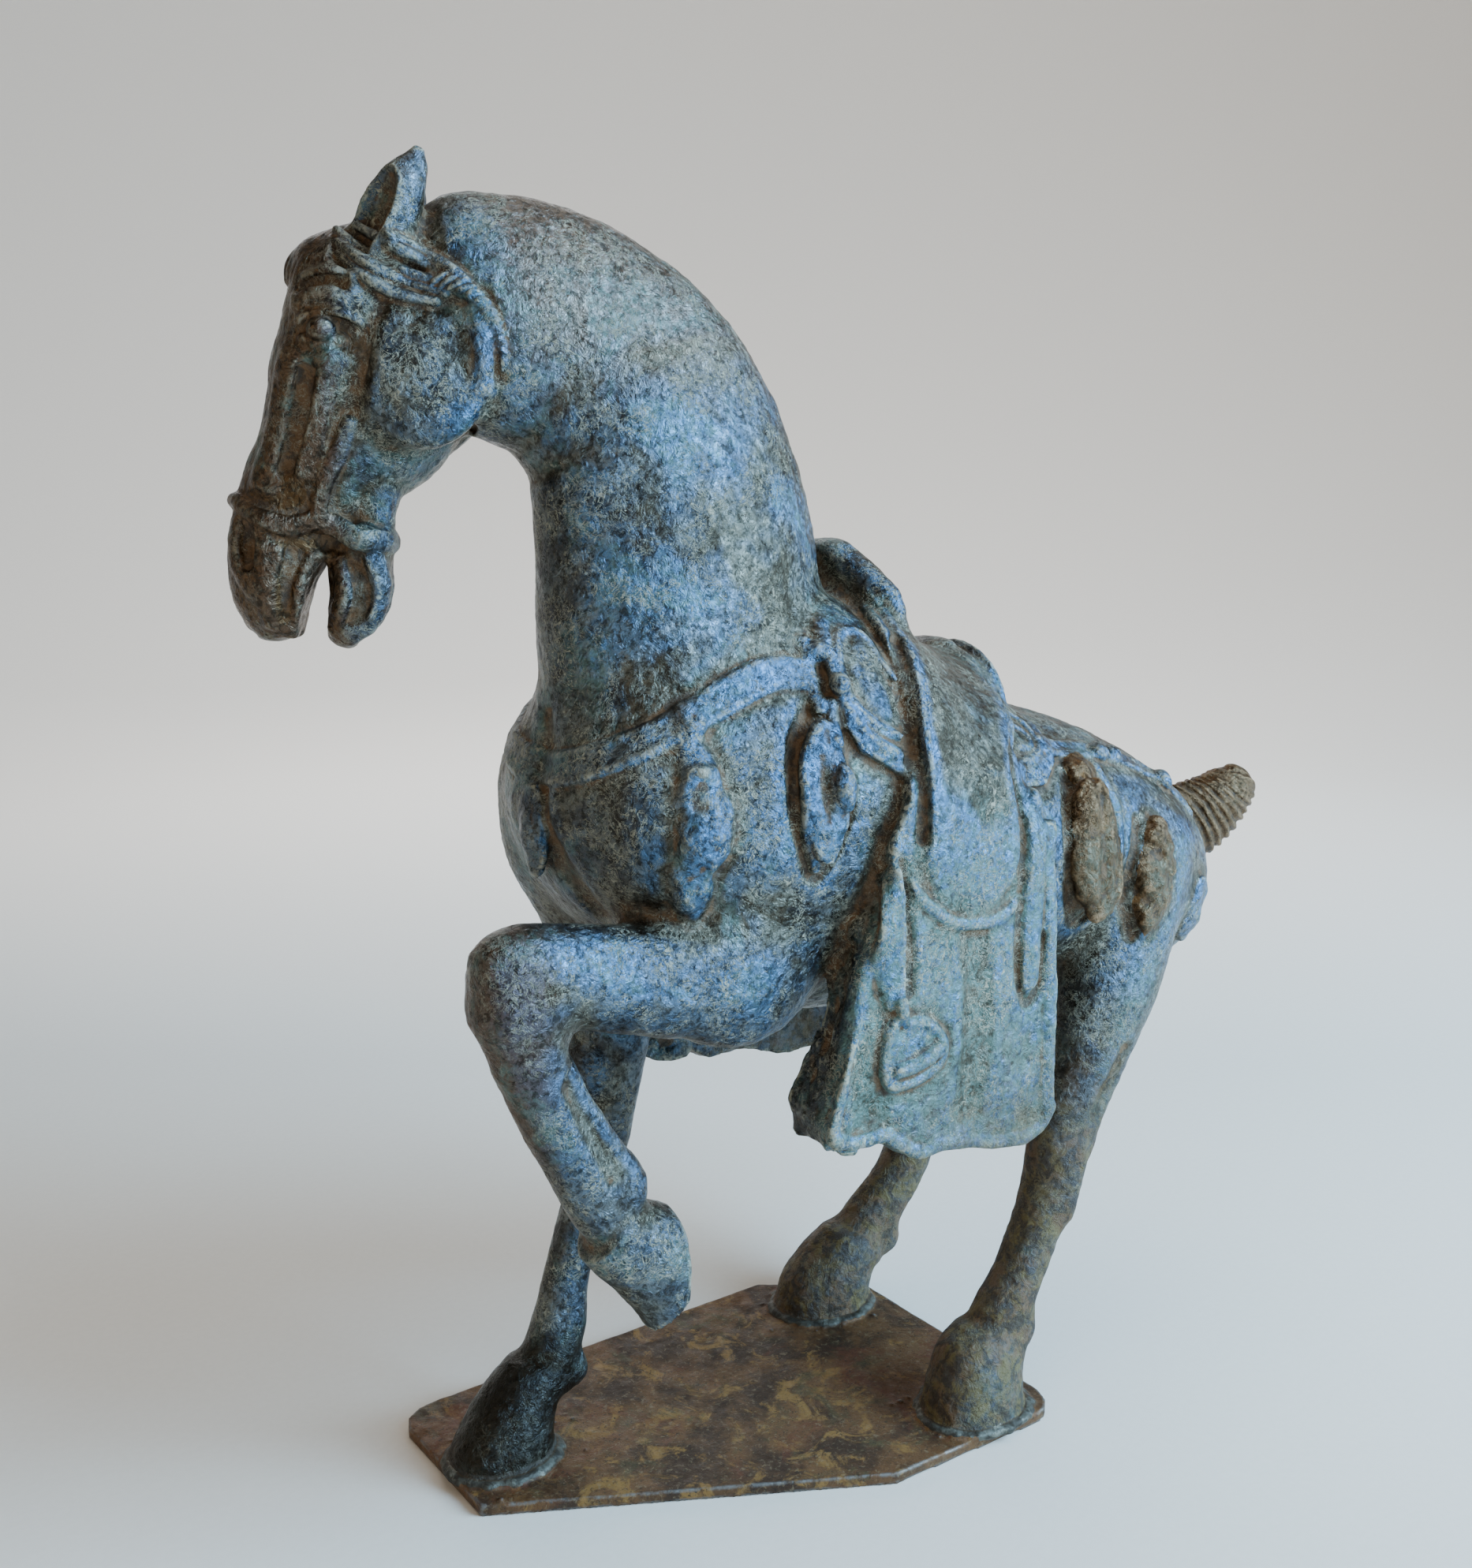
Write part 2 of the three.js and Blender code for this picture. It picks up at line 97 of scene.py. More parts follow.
def rings_mesh(rings, closed=False):
    """Points, quads and triangles of a tube through rings of points, capped unless it closes."""
    count, sides, _ = rings.shape
    points = rings.reshape(-1, 3)
    spans = count if closed else count - 1
    here = np.arange(spans)[:, None] * sides
    there = (np.arange(spans)[:, None] + 1) % count * sides
    side = np.arange(sides)
    beside = (side + 1) % sides
    quads = np.stack([here + side, here + beside, there + beside, there + side], -1).reshape(-1, 4)
    if closed:
        return points, quads, np.zeros((0, 3), int)
    first = len(points)
    points = np.vstack([points, rings[0].mean(0), rings[-1].mean(0)])
    start = np.stack([np.full(sides, first), beside, side], 1)
    end = np.stack([np.full(sides, first + 1), first - sides + side, first - sides + beside], 1)
    return points, quads, np.vstack([start, end])


def oval_rings(centres, across, deep, widths, depths, sides):
    """An oval ring of points about each centre."""
    turn = np.linspace(0, 2 * math.pi, sides, endpoint=False)[None, :, None]
    wide = widths[:, None, None] * np.cos(turn) * across[:, None, :]
    high = depths[:, None, None] * np.sin(turn) * deep[:, None, :]
    return centres[:, None, :] + wide + high


def domed(centres, tangents, across, deep, sizes, domes):
    """Adds shrinking rings beyond either end, so that the end is round."""
    parts = [(centres, across, deep, sizes)]
    for end, height in ((0, domes[0]), (-1, domes[1])):
        if not height:
            continue
        angles = np.radians([20, 38, 54, 68, 80])
        outward = tangents[end] * (-1 if end == 0 else 1)
        cap = (
            centres[end] + outward * height * np.sin(angles)[:, None],
            np.repeat(across[end][None], len(angles), 0),
            np.repeat(deep[end][None], len(angles), 0),
            sizes[end] * np.cos(angles)[:, None],
        )
        if end == 0:
            parts.insert(0, tuple(part[::-1] for part in cap))
        else:
            parts.append(cap)
    return [np.vstack([part[i] for part in parts]) for i in range(4)]


def loft(stations, normal=None, domes=(0, 0), sides=44, between=6):
    """A body through oval stations, each x, y, z, half width, half depth."""
    rows = spline(stations, (len(stations) - 1) * between + 1)
    centres = rows[:, :3]
    sizes = np.maximum(rows[:, 3:5], 0.7)
    tangents = unit(np.gradient(centres, axis=0)) if normal is None else np.tile(normal, (len(rows), 1))
    across = unit(Y_AXIS - tangents * tangents[:, 1:2])
    deep = np.cross(tangents, across)
    centres, across, deep, sizes = domed(centres, tangents, across, deep, sizes, domes)
    return rings_mesh(oval_rings(centres, across, deep, sizes[:, 0], sizes[:, 1], sides))


def band(points, facing, half_width, half_thick, closed=False, sides=14, between=5, domes=True):
    """A strap or rib along points. facing is the direction in which it stands proud, for each point."""
    points = np.asarray(points, float)
    facing = np.asarray(facing, float)
    if facing.ndim == 1:
        facing = np.tile(facing, (len(points), 1))
    widths = np.broadcast_to(half_width, len(points)).astype(float)
    thicks = np.broadcast_to(half_thick, len(points)).astype(float)
    rows = np.hstack([points, facing, widths[:, None], thicks[:, None]])
    if closed:
        rows = np.vstack([rows, rows[:3]])
    rows = spline(rows, (len(rows) - 1) * between + 1)
    if closed:
        rows = rows[between : -between - 1]
    centres = rows[:, :3]
    tangents = np.gradient(centres, axis=0)
    if closed:
        tangents = np.roll(centres, -1, 0) - np.roll(centres, 1, 0)
    tangents = unit(tangents)
    deep = rows[:, 3:6] - tangents * (rows[:, 3:6] * tangents).sum(1)[:, None]
    deep = unit(deep)
    across = np.cross(deep, tangents)
    sizes = np.maximum(rows[:, 6:8], 0.4)
    if not closed:
        height = (min(sizes[0]), min(sizes[-1])) if domes else (0, 0)
        centres, across, deep, sizes = domed(centres, tangents, across, deep, sizes, height)
    return rings_mesh(oval_rings(centres, across, deep, sizes[:, 0], sizes[:, 1], sides), closed)


def ball(centre, radii, axes=None):
    """An ellipsoid with radii along the rows of axes."""
    axes = np.eye(3) if axes is None else np.asarray(axes, float)
    radii = np.broadcast_to(np.asarray(radii, float), 3)
    rise = np.radians(np.linspace(-84, 84, 15))
    turn = np.linspace(0, 2 * math.pi, 22, endpoint=False)
    local = np.empty((len(rise), len(turn), 3))
    local[..., 0] = np.cos(rise)[:, None] * np.cos(turn) * radii[0]
    local[..., 1] = np.cos(rise)[:, None] * np.sin(turn) * radii[1]
    local[..., 2] = np.sin(rise)[:, None] * radii[2]
    return rings_mesh(np.asarray(centre, float) + local @ axes)


def prism(outline, origin, u_axis, v_axis, w_axis, low, high):
    """A flat outline of (u, v) points, given thickness along w from low to high."""
    flat = [Vector((u, v, 0)) for u, v in outline]
    count = len(flat)
    plane = np.array([origin + u * u_axis + v * v_axis for u, v in outline])
    points = np.vstack([plane + w_axis * low, plane + w_axis * high])
    caps = np.array(tessellate_polygon([flat]))
    side = np.arange(count)
    beside = (side + 1) % count
    quads = np.stack([side, beside, beside + count, side + count], 1)
    return points, quads, np.vstack([caps[:, ::-1], caps + count])


def slab(outline, low, high):
    """A flat outline of (x, z) points, between two values of y."""
    return prism(outline, vec(0, 0, 0), X_AXIS, Z_AXIS, Y_AXIS, low, high)


# --- Clay ---------------------------------------------------------------------------------------


def merge(a, b, blend):
    """The nearer of two distances, rounded into one another over the blend length."""
    if blend <= 0:
        return np.minimum(a, b)
    near = np.maximum(blend - np.abs(a - b), 0) / blend
    return np.minimum(a, b) - near * near * (blend / 4)


def differences(value, points, step):
    """How fast a value of the points changes along x, y and z."""
    parts = [value(points + axis * step) - value(points - axis * step) for axis in np.eye(3)]
    return np.stack(parts, -1) / (2 * step)


class Clay:
    """Signed distances on a grid between two corners, with the pieces that they belong to."""

    def __init__(self, low, high, cell):
        self.cell = cell
        self.base = np.floor(np.array(low) / cell).astype(int)
        self.shape = np.ceil(np.array(high) / cell).astype(int) - self.base + 1
        self.skin = np.full(self.shape, FAR, np.float32)
        self.nearest = np.full(self.shape, FAR, np.float32)
        self.second = np.full(self.shape, FAR, np.float32)
        self.owner = np.full(self.shape, -1, np.int16)
        self.names = []
        self.raw = {}
        self.turned = vdb.createLinearTransform(voxelSize=cell)

    def field(self, mesh, reach):
        """The part of the grid that a closed mesh reaches, and its distances there."""
        points, quads, triangles = mesh
        low = np.maximum(np.floor((points.min(0) - reach) / self.cell).astype(int), self.base)
        high = np.ceil((points.max(0) + reach) / self.cell).astype(int) + 1
        high = np.minimum(high, self.base + self.shape)
        if (high <= low).any():
            return None, None
        grid = vdb.FloatGrid.createLevelSetFromPolygons(
            points.astype(np.float32),
            triangles=triangles.astype(np.uint32),
            quads=quads.astype(np.uint32),
            transform=self.turned,
            halfWidth=reach / self.cell,
        )
        values = np.empty(high - low, np.float32)
        grid.copyToArray(values, ijk=tuple(int(v) for v in low))
        values[values > 0.98 * reach] = FAR
        return tuple(slice(a, b) for a, b in zip(low - self.base, high - self.base)), values

    def places(self, where):
        """The points of part of the grid, in millimetres."""
        axes = [np.arange(part.start, part.stop) + low for part, low in zip(where, self.base)]
        return np.stack(np.meshgrid(*axes, indexing="ij"), -1).reshape(-1, 3) * self.cell

    def claim(self, name, where, values):
        """Notes how far the grid points are from a piece, to share the surface out later."""
        if name not in self.names:
            self.names.append(name)
            self.raw[name] = []
        number = self.names.index(name)
        self.raw[name].append((where, values))
        first, second, owner = self.nearest[where], self.second[where], self.owner[where]
        mine = owner == number
        wins = values < first
        second[:] = np.where(mine, second, np.where(wins, first, np.minimum(second, values)))
        first[:] = np.minimum(first, values)
        owner[wins] = number

    def cast(self, name, mesh, blend, reach=FINE_REACH, rough=0.0, size=6.0):
        """Presses a shape on, as part of the named piece. rough gives it uneven lumps of a size."""
        where, values = self.field(mesh, reach)
        if where is None:
            return
        if rough:
            places = self.places(where)
            uneven = cloud(places, size) + 0.5 * cloud(places + 17.3, size * 0.5)
            values = values - (rough * uneven).reshape(values.shape).astype(np.float32)
        self.cast_field(name, where, values, blend)

    def cast_field(self, name, where, values, blend):
        self.claim(name, where, values)
        self.skin[where] = merge(self.skin[where], values, blend)

    def press(self, mesh, blend, reach=FINE_REACH):
        """Adds a swelling to whichever piece is there."""
        where, values = self.field(mesh, reach)
        if where is not None:
            self.skin[where] = merge(self.skin[where], values, blend)

    def carve(self, mesh, blend, reach=FINE_REACH):
        """Cuts a hollow."""
        where, values = self.field(mesh, reach)
        if where is not None:
            self.skin[where] = -merge(-self.skin[where], values, blend)

    def sample(self, points):
        """The distance at any points, in millimetres."""
        grid = self.skin
        at = np.asarray(points, float) / self.cell - self.base
        at = np.clip(at, 0, self.shape - 1.001)
        i = at.astype(int)
        f = (at - i).astype(np.float32)
        x, y, z = i[..., 0], i[..., 1], i[..., 2]
        fx, fy, fz = f[..., 0], f[..., 1], f[..., 2]
        near = grid[x, y, z] * (1 - fx) + grid[x + 1, y, z] * fx
        side = grid[x, y + 1, z] * (1 - fx) + grid[x + 1, y + 1, z] * fx
        over = grid[x, y, z + 1] * (1 - fx) + grid[x + 1, y, z + 1] * fx
        both = grid[x, y + 1, z + 1] * (1 - fx) + grid[x + 1, y + 1, z + 1] * fx
        return (near * (1 - fy) + side * fy) * (1 - fz) + (over * (1 - fy) + both * fy) * fz

    def slope(self, points, step):
        return differences(self.sample, points, step)

    def hit(self, start, direction, longest=300):
        """The first point of the surface along a ray, and the way it faces."""
        direction = unit(direction)
        along = np.arange(0, longest, 0.5)
        values = self.sample(start + along[:, None] * direction)
        inside = np.nonzero(values < 0)[0]
        if len(inside):
            i = max(inside[0], 1)
            before, after = values[i - 1], values[i]
            point = start + direction * (along[i] - 0.5 * after / min(after - before, -1e-6))
            return point, unit(self.slope(point[None], 1.5)[0])
        i = values.argmin()  # a miss: the nearest point of the surface to the ray
        point = start + direction * along[i]
        facing = unit(self.slope(point[None], 1.5)[0])
        return point - facing * values[i], facing


# --- Cutting the clay into pieces -----------------------------------------------------------------

LATTICE = np.random.default_rng(7).random((64, 64, 64)).astype(np.float32)


def cloud(points, size):
    """Smooth random values from -1 to 1, with features of about the given size."""
    at = points / size
    i = np.floor(at).astype(int)
    f = (at - i).astype(np.float32)
    f = f * f * (3 - 2 * f)
    x0, y0, z0 = (i % 64).T
    x1, y1, z1 = ((i + 1) % 64).T
    fx, fy, fz = f.T
    low = (LATTICE[x0, y0, z0] * (1 - fx) + LATTICE[x1, y0, z0] * fx) * (1 - fy)
    low += (LATTICE[x0, y1, z0] * (1 - fx) + LATTICE[x1, y1, z0] * fx) * fy
    high = (LATTICE[x0, y0, z1] * (1 - fx) + LATTICE[x1, y0, z1] * fx) * (1 - fy)
    high += (LATTICE[x0, y1, z1] * (1 - fx) + LATTICE[x1, y1, z1] * fx) * fy
    return (low * (1 - fz) + high * fz) * 2 - 1


def casting_grain(points):
    """The uneven skin of a sand casting, in millimetres."""
    lumps = 0.30 * cloud(points, 11.0) + 0.20 * cloud(points + 31.7, 5.2)
    pits = 0.17 * cloud(points + 5.3, 2.6) + 0.10 * cloud(points + 77.1, 1.5)
    return lumps + pits


def plate_grain(points):
    """Rolled steel with mill scale: gentle waves and shallow pits, and a flat underside."""
    waves = 0.12 * cloud(points, 23.0) + 0.09 * cloud(points + 9.1, 3.1)
    pits = -0.25 * np.maximum(cloud(points + 51.3, 4.6) - 0.35, 0)
    return (waves + pits) * np.clip(points[:, 2] / 2.0, 0, 1)


def keep_large(points, quads):
    """Drops specks, which a grid can leave."""
    label = np.arange(len(points))
    a = quads.ravel()
    b = np.roll(quads, -1, 1).ravel()
    while True:
        low = np.minimum(label[a], label[b])
        before = label.copy()
        np.minimum.at(label, label[a], low)
        np.minimum.at(label, label[b], low)
        label = label[label]
        label = label[label]
        if (label == before).all():
            break
    sizes = np.bincount(label, minlength=len(points))
    kept = sizes[label] > len(points) / SPECK
    quads = quads[kept[quads[:, 0]]]
    number = np.cumsum(kept) - 1
    return points[kept], number[quads]


def cut_piece(clay, name):
    """One piece's surface: its share of the skin, closed by faces that go in under its neighbours."""
    number = clay.names.index(name)
    parts = clay.raw[name]
    low = np.min([[s.start for s in where] for where, _ in parts], 0)
    high = np.max([[s.stop for s in where] for where, _ in parts], 0)
    raw = np.full(high - low, FAR, np.float32)
    for where, values in parts:
        local = tuple(slice(s.start - a, s.stop - a) for s, a in zip(where, low))
        raw[local] = np.minimum(raw[local], values)
    box = tuple(slice(a, b) for a, b in zip(low, high))
    others = np.where(clay.owner[box] == number, clay.second[box], clay.nearest[box])
    lead = raw - others
    solid = np.maximum(clay.skin[box] + DIVE * np.maximum(lead, 0), lead - LAP)
    edge = 3 * clay.cell
    solid = np.pad(np.clip(solid, -edge, edge), 1, constant_values=edge)
    grid = vdb.FloatGrid(edge)
    grid.transform = clay.turned
    grid.copyFromArray(solid, ijk=tuple(int(v) for v in low + clay.base - 1), tolerance=0.0)
    points, quads = grid.convertToQuads(isovalue=0.0)
    return keep_large(points.astype(float), quads.astype(int))


AROUND = [(x, y, z) for x in (-1, 0, 1) for y in (-1, 0, 1) for z in (-1, 0, 1)]
DIRECTIONS = unit([step for step in AROUND if np.abs(step).sum() in (1, 3)])


def bulge(clay, points, radius):
    """How convex the surface is at this scale: about 0 on a flat, above it on an edge."""
    total = sum(clay.sample(points + direction * radius) for direction in DIRECTIONS)
    return total / (len(DIRECTIONS) * radius)


def finish_surface(clay, points, grain):
    """Moves the points on to the skin with its grain, and gives their normals and bulges."""
    step = 0.8 * clay.cell
    normals = unit(clay.slope(points, step))
    height = clay.sample(points)
    on_skin = np.abs(height) < 0.35 * clay.cell
    points = points - normals * np.where(on_skin, height, 0)[:, None]
    fine = bulge(clay, points, FINE_BULGE)
    broad = bulge(clay, points, BROAD_BULGE)
    lift = grain(points)
    tilt = differences(grain, points, GRAIN_STEP)
    slope = clay.slope(points, step)
    facing = unit(unit(slope) - tilt)
    points = points + normals * lift[:, None]
    facing[~on_skin] = 0
    return points, facing, fine, broad


def show(name, data):
    """A new object of the scene that holds the data."""
    obj = bpy.data.objects.new(name, data)
    bpy.context.scene.collection.objects.link(obj)
    return obj


def mesh_piece(name, points, quads, facing, **values):
    """A smooth object with its own normals, and a value at each point under each label."""
    mesh = bpy.data.meshes.new(name)
    mesh.vertices.add(len(points))
    mesh.vertices.foreach_set("co", (points * MM).astype(np.float32).ravel())
    mesh.loops.add(quads.size)
    mesh.loops.foreach_set("vertex_index", quads.astype(np.int32).ravel())
    mesh.polygons.add(len(quads))
    mesh.polygons.foreach_set("loop_start", np.arange(0, quads.size, 4, dtype=np.int32))
    mesh.update(calc_edges=True)
    mesh.shade_smooth()
    for label, numbers in values.items():
        attribute = mesh.attributes.new(label, "FLOAT", "POINT")
        attribute.data.foreach_set("value", np.asarray(numbers, np.float32))
    mesh.normals_split_custom_set_from_vertices(facing.astype(np.float32))
    return show(name, mesh)


def outward(points, quads):
    """The quads, turned round if they face inward."""
    a, b, c = points[quads[:, 0]], points[quads[:, 1]], points[quads[:, 2]]
    d = points[quads[:, 3]]
    volume = (np.cross(b - a, c - a) * (a + b + c)).sum() + (np.cross(c - a, d - a) * (a + c + d)).sum()
    return quads if volume > 0 else quads[:, ::-1]


# --- The castings ---------------------------------------------------------------------------------

HEAD_TURN = math.radians(30)
POLL = vec(-83, 15, 386)
FORWARD = vec(-math.cos(HEAD_TURN), math.sin(HEAD_TURN), 0)
RIGHTWARD = vec(math.sin(HEAD_TURN), math.cos(HEAD_TURN), 0)


def on_head(forward, right, up):
    """A point in the head's own directions, from the poll."""
    return POLL + FORWARD * forward + RIGHTWARD * right + Z_AXIS * up


HEAD_AXES = np.array([FORWARD, RIGHTWARD, Z_AXIS])


def head_axes(lean):
    """The head's axes, tipped by an angle in degrees: its third axis leans forward at the top."""
    c, s = math.cos(math.radians(lean)), math.sin(math.radians(lean))
    return np.array([FORWARD * c - Z_AXIS * s, RIGHTWARD, FORWARD * s + Z_AXIS * c])


def head_rows(rows):
    return [(*on_head(f, r, u), w, d) for f, r, u, w, d in rows]


def mirrored(rows, sign):
    """Rows of the left side, moved to the given side."""
    return [(x, -sign * y, *rest) for x, y, *rest in rows]


TORSO = [
    (-75, 0, 236, 16, 14),
    (-67, 0, 238, 37, 31),
    (-48, 2, 235, 51, 49),
    (-15, 1, 231, 57, 66),
    (20, 0, 229, 59, 74),
    (60, 0, 215, 59, 63),
    (100, 0, 206, 58, 56),
    (140, 0, 200, 57, 52),
    (172, 0, 191, 54, 49),
    (199, 0, 184, 45, 42),
    (215, 0, 180, 31, 30),
    (222, 0, 178, 14, 14),
]
NECK = [
    (-14, 0, 240, 43, 50),
    (-20, 0, 284, 37, 51),
    (-23, 1, 324, 32, 49),
    (-34, 4, 358, 28, 44),
    (-55, 9, 378, 26, 39),
    (-80, 14, 386, 25, 36),
    (-92, 20, 386, 22, 31),
]
SKULL = head_rows(
    [
        (27, 0, 25, 10, 10),
        (28, 0, 18, 19, 21),
        (29, 0, 4, 24, 28),
        (31, 0, -14, 24, 31),
        (37, 0, -28, 21, 30),
        (47, 0, -43, 18, 23),
        (56, 0, -56, 16, 19),
        (62, 0, -68, 16, 16),
        (65, 0, -79, 16, 13),
        (65, 0, -88, 14, 10),
        (64, 0, -93, 10, 7),
    ]
)
JAW = head_rows(
    [
        (34, 0, -52, 11, 7),
        (38, 0, -66, 12, 9),
        (40, 0, -78, 13, 10),
        (42, 0, -88, 12, 9),
        (45, 0, -95, 8, 5),
    ]
)
EAR = [
    (27, -14, 12, 8, 10),
    (26, -15, 24, 8.5, 10),
    (22, -15, 33, 6.8, 8),
    (18, -14, 40, 4, 5),
    (16, -14, 44.5, 1.6, 2.2),
]
LEGS = {
    "left_forearm": [
        (-2, -32, 205, 15, 26),
        (-22, -35, 186, 17, 27),
        (-44, -34, 186, 16, 21),
        (-66, -33, 188, 14, 17),
        (-88, -32, 193, 13, 15.5),
        (-102, -32, 195, 12.5, 15),
        (-109, -32, 193, 11, 13),
    ],
    "left_fore_cannon": [
        (-101, -32, 184, 12, 14),
        (-98.5, -32, 170, 11.5, 12),
        (-92, -32, 149, 9.5, 9.5),
        (-84, -32, 133.5, 9.5, 9.5),
        (-79, -32, 125, 10, 10.5),
        (-74, -32, 117, 10.5, 11),
        (-70, -32, 110, 10, 10),
    ],
    "left_fore_hoof": [
        (-74, -32, 109, 10.5, 11.5),
        (-68, -32, 104, 12.5, 13.5),
        (-60, -32, 98, 13.5, 15.5),
        (-52, -32, 92, 14, 18),
        (-46, -32, 88, 14, 22),
    ],
    "right_foreleg": [
        (-46, 35, 246, 16, 20),
        (-42, 36, 222, 21, 26),
        (-32, 36, 192, 19, 22),
        (-31, 33, 164, 15, 19),
        (-32, 31, 138, 12, 13),
        (-38, 30, 104, 9, 10),
        (-50, 30, 68, 8, 8),
        (-57, 29, 42, 9.5, 10),
        (-64, 28, 26, 10, 11),
    ],
    "left_hind_leg": [
        (170, -30, 205, 18, 24),
        (158, -36, 182, 22, 25),
        (146, -42, 155, 19, 23),
        (130, -46, 126, 15, 16),
        (117, -47, 98, 11.5, 13),
        (112.5, -47, 79, 10.5, 11),
        (104, -47, 62, 9.5, 9.5),
        (95, -48, 48, 9.5, 9.5),
        (88, -48, 36, 10.5, 11.5),
        (82, -48, 25, 11.5, 13),
    ],
    "right_hind_leg": [
        (170, 30, 205, 18, 24),
        (160, 36, 182, 22, 28),
        (149, 41, 155, 20, 24),
        (140, 43, 126, 15, 17),
        (135, 44, 98, 12, 13.5),
        (131, 44, 76, 10.5, 11.5),
        (119, 43, 52, 9.5, 10.5),
        (103, 44, 34, 10.5, 12),
        (94, 44, 24, 12, 13),
    ],
}
STANDING_HOOVES = {
    "left_hind": [
        (80, -48, 31, 11.5, 13.5),
        (77, -48.5, 26, 14, 17),
        (74, -49, 15, 15.8, 19.3),
        (72.5, -49.5, 4, 17.3, 21),
        (72, -50, -1, 17.5, 21),
    ],
    "right_hind": [
        (92, 44, 31, 11.5, 13),
        (88, 44, 25, 14, 16),
        (80, 44, 15, 15.8, 19.5),
        (77, 43.5, 5, 17.2, 21),
        (76, 43, -1, 17.5, 21),
    ],
    "right_fore": [
        (-66, 28, 32, 10.5, 11.5),
        (-71, 28, 26, 12.5, 13),
        (-77, 27, 16, 14.8, 15.5),
        (-81, 25.5, 5, 16.8, 19),
        (-81.5, 25, -1, 17, 19),
    ],
}
CORONET_LEAN = 0.26  # radians: the coronet is higher at the front
CORONET_TIP = vec(-math.sin(CORONET_LEAN), 0, -math.cos(CORONET_LEAN))
TAIL = [
    (200, 0, 189, 14, 19),
    (223, -2, 192, 13, 18.5),
    (239, -5, 197, 12.5, 17),
    (251, -8, 203, 11, 14),
    (259, -10, 210, 9, 11),
    (262, -11, 215, 6, 8),
]


def limbs(clay):
    """The legs, and the standing hooves, which are cut off level."""
    for name, rows in LEGS.items():
        domes = (0, 0) if name == "left_fore_hoof" else (6, 6)
        clay.cast(name, loft(rows, domes=domes), 3 if "hoof" in name else 8, REACH)
    for name, rows in STANDING_HOOVES.items():
        where, values = clay.field(loft(rows, normal=CORONET_TIP, domes=(3, 0)), REACH)
        height = clay.places(where)[:, 2].reshape(values.shape)
        values = np.maximum(values, (HOOF_FOOT - height).astype(np.float32))
        clay.cast_field(f"{name}_hoof", where, values, 3.5)


def leg_details(clay):
    """Knees, hocks, tendons, fetlocks and the lines of the hooves."""
    for name, heel in (("left_hind_leg", (92, -48, 30)), ("right_hind_leg", (108, 44, 25))):
        rows = np.array(LEGS[name])
        hock, shank = rows[4], rows[5]
        clay.cast(name, ball(hock[:3] + vec(7, 0, -2), (6, 7.5, 11)), 6, REACH)
        point_of_hock = [rows[3][:3] + vec(12, 0, 4), hock[:3] + vec(9, 0, 4)]
        clay.cast(name, band(point_of_hock, X_AXIS, 5, 4), 6, REACH)
        for side in (-1, 1):
            groove = [rows[3][:3] + vec(7, side * 15, 4), hock[:3] + vec(5, side * 13, 10)]
            clay.carve(band(groove, Y_AXIS, 3, 2.2), 4)
            bone = [hock[:3] + vec(0, side * 8, -2), shank[:3] + vec(0, side * 7, -8)]
            clay.cast(name, band(bone, Y_AXIS * side, 4, 4), 4)
        clay.cast(name, ball(heel, (7, 9.5, 7)), 6, REACH)
    clay.cast("right_foreleg", ball((-53, 29, 27), (6.5, 9, 7)), 5, REACH)
    clay.cast("right_foreleg", ball((-43, 31, 136), (7, 11, 10)), 7, REACH)
    # The raised leg: knee, tendon behind the cannon, fetlock, and a flat sole with a hollow in it.
    clay.cast("left_forearm", ball((-106, -32, 188), (9, 12, 12)), 7, REACH)
    tendon = [(-88, -33, 163), (-79, -33, 148), (-68, -33, 130)]
    clay.cast("left_fore_cannon", band(tendon, (0.7, 0, 0.6), 5, 3.4), 5, REACH)
    for y in (-42, -22):
        path = [(-91, y, 161), (-84, y, 146), (-76, y, 129)]
        clay.carve(band(path, Y_AXIS * np.sign(y + 32), 1.6, 1.5), 3)
    clay.cast("left_fore_cannon", ball((-67, -32, 122), (7, 9.5, 8)), 6, REACH)
    clay.carve(slab([(-49.5, 50), (-49.5, 130), (-20, 130), (-20, 50)], -60, -5), 1.2)
    clay.carve(ball((-48, -32, 87), (4, 9, 12)), 2)


def ears(clay):
    for side, sign in SIDES:
        shift = vec(0, 0, 0) if sign < 0 else FORWARD * 3 - Z_AXIS * 2
        rows = [(*(np.array(row[:3]) + shift), *row[3:]) for row in head_rows(mirrored(EAR, sign))]
        clay.cast(f"{side}_ear", loft(rows, domes=(0, 1.2)), 3.5, REACH)
        for centre, radii, lean in (((32.5, 20.5, 26), (8, 7, 16), -30), ((35, 21, 16), (5, 5, 7), -20)):
            middle = on_head(centre[0], centre[1] * sign, centre[2]) + shift
            clay.carve(ball(middle, radii, head_axes(lean)), 1.2)
        back = on_head(15, 23 * sign, 24) + shift
        clay.carve(ball(back, (3.5, 3.5, 7), head_axes(-20)), 2.5)


def main_castings(clay):
    clay.cast("torso", loft(TORSO, normal=X_AXIS, domes=(4, 5), sides=64), 0, REACH)
    clay.cast("neck", loft(NECK, domes=(6, 6), sides=56), 10, REACH)
    clay.cast("neck", ball((-90, 18, 402), (15, 15, 17)), 7, REACH)
    clay.cast("head", loft(SKULL, domes=(5, 4)), 7, REACH)
    clay.cast("lower_jaw", loft(JAW, domes=(5, 4)), 4, REACH)
    ears(clay)


# --- The head's features ----------------------------------------------------------------------------


class Side:
    """One side of the statue, where raised work is placed by two coordinates."""

    def __init__(self, clay, side, sign):
        self.clay = clay
        self.side = side
        self.sign = sign

    def line(self, spots, lift=0.0):
        """Points of the surface through the spots, and the way it faces at each."""
        pairs = [self.at(*spot, lift) for spot in spots]
        return [p for p, _ in pairs], [n for _, n in pairs]


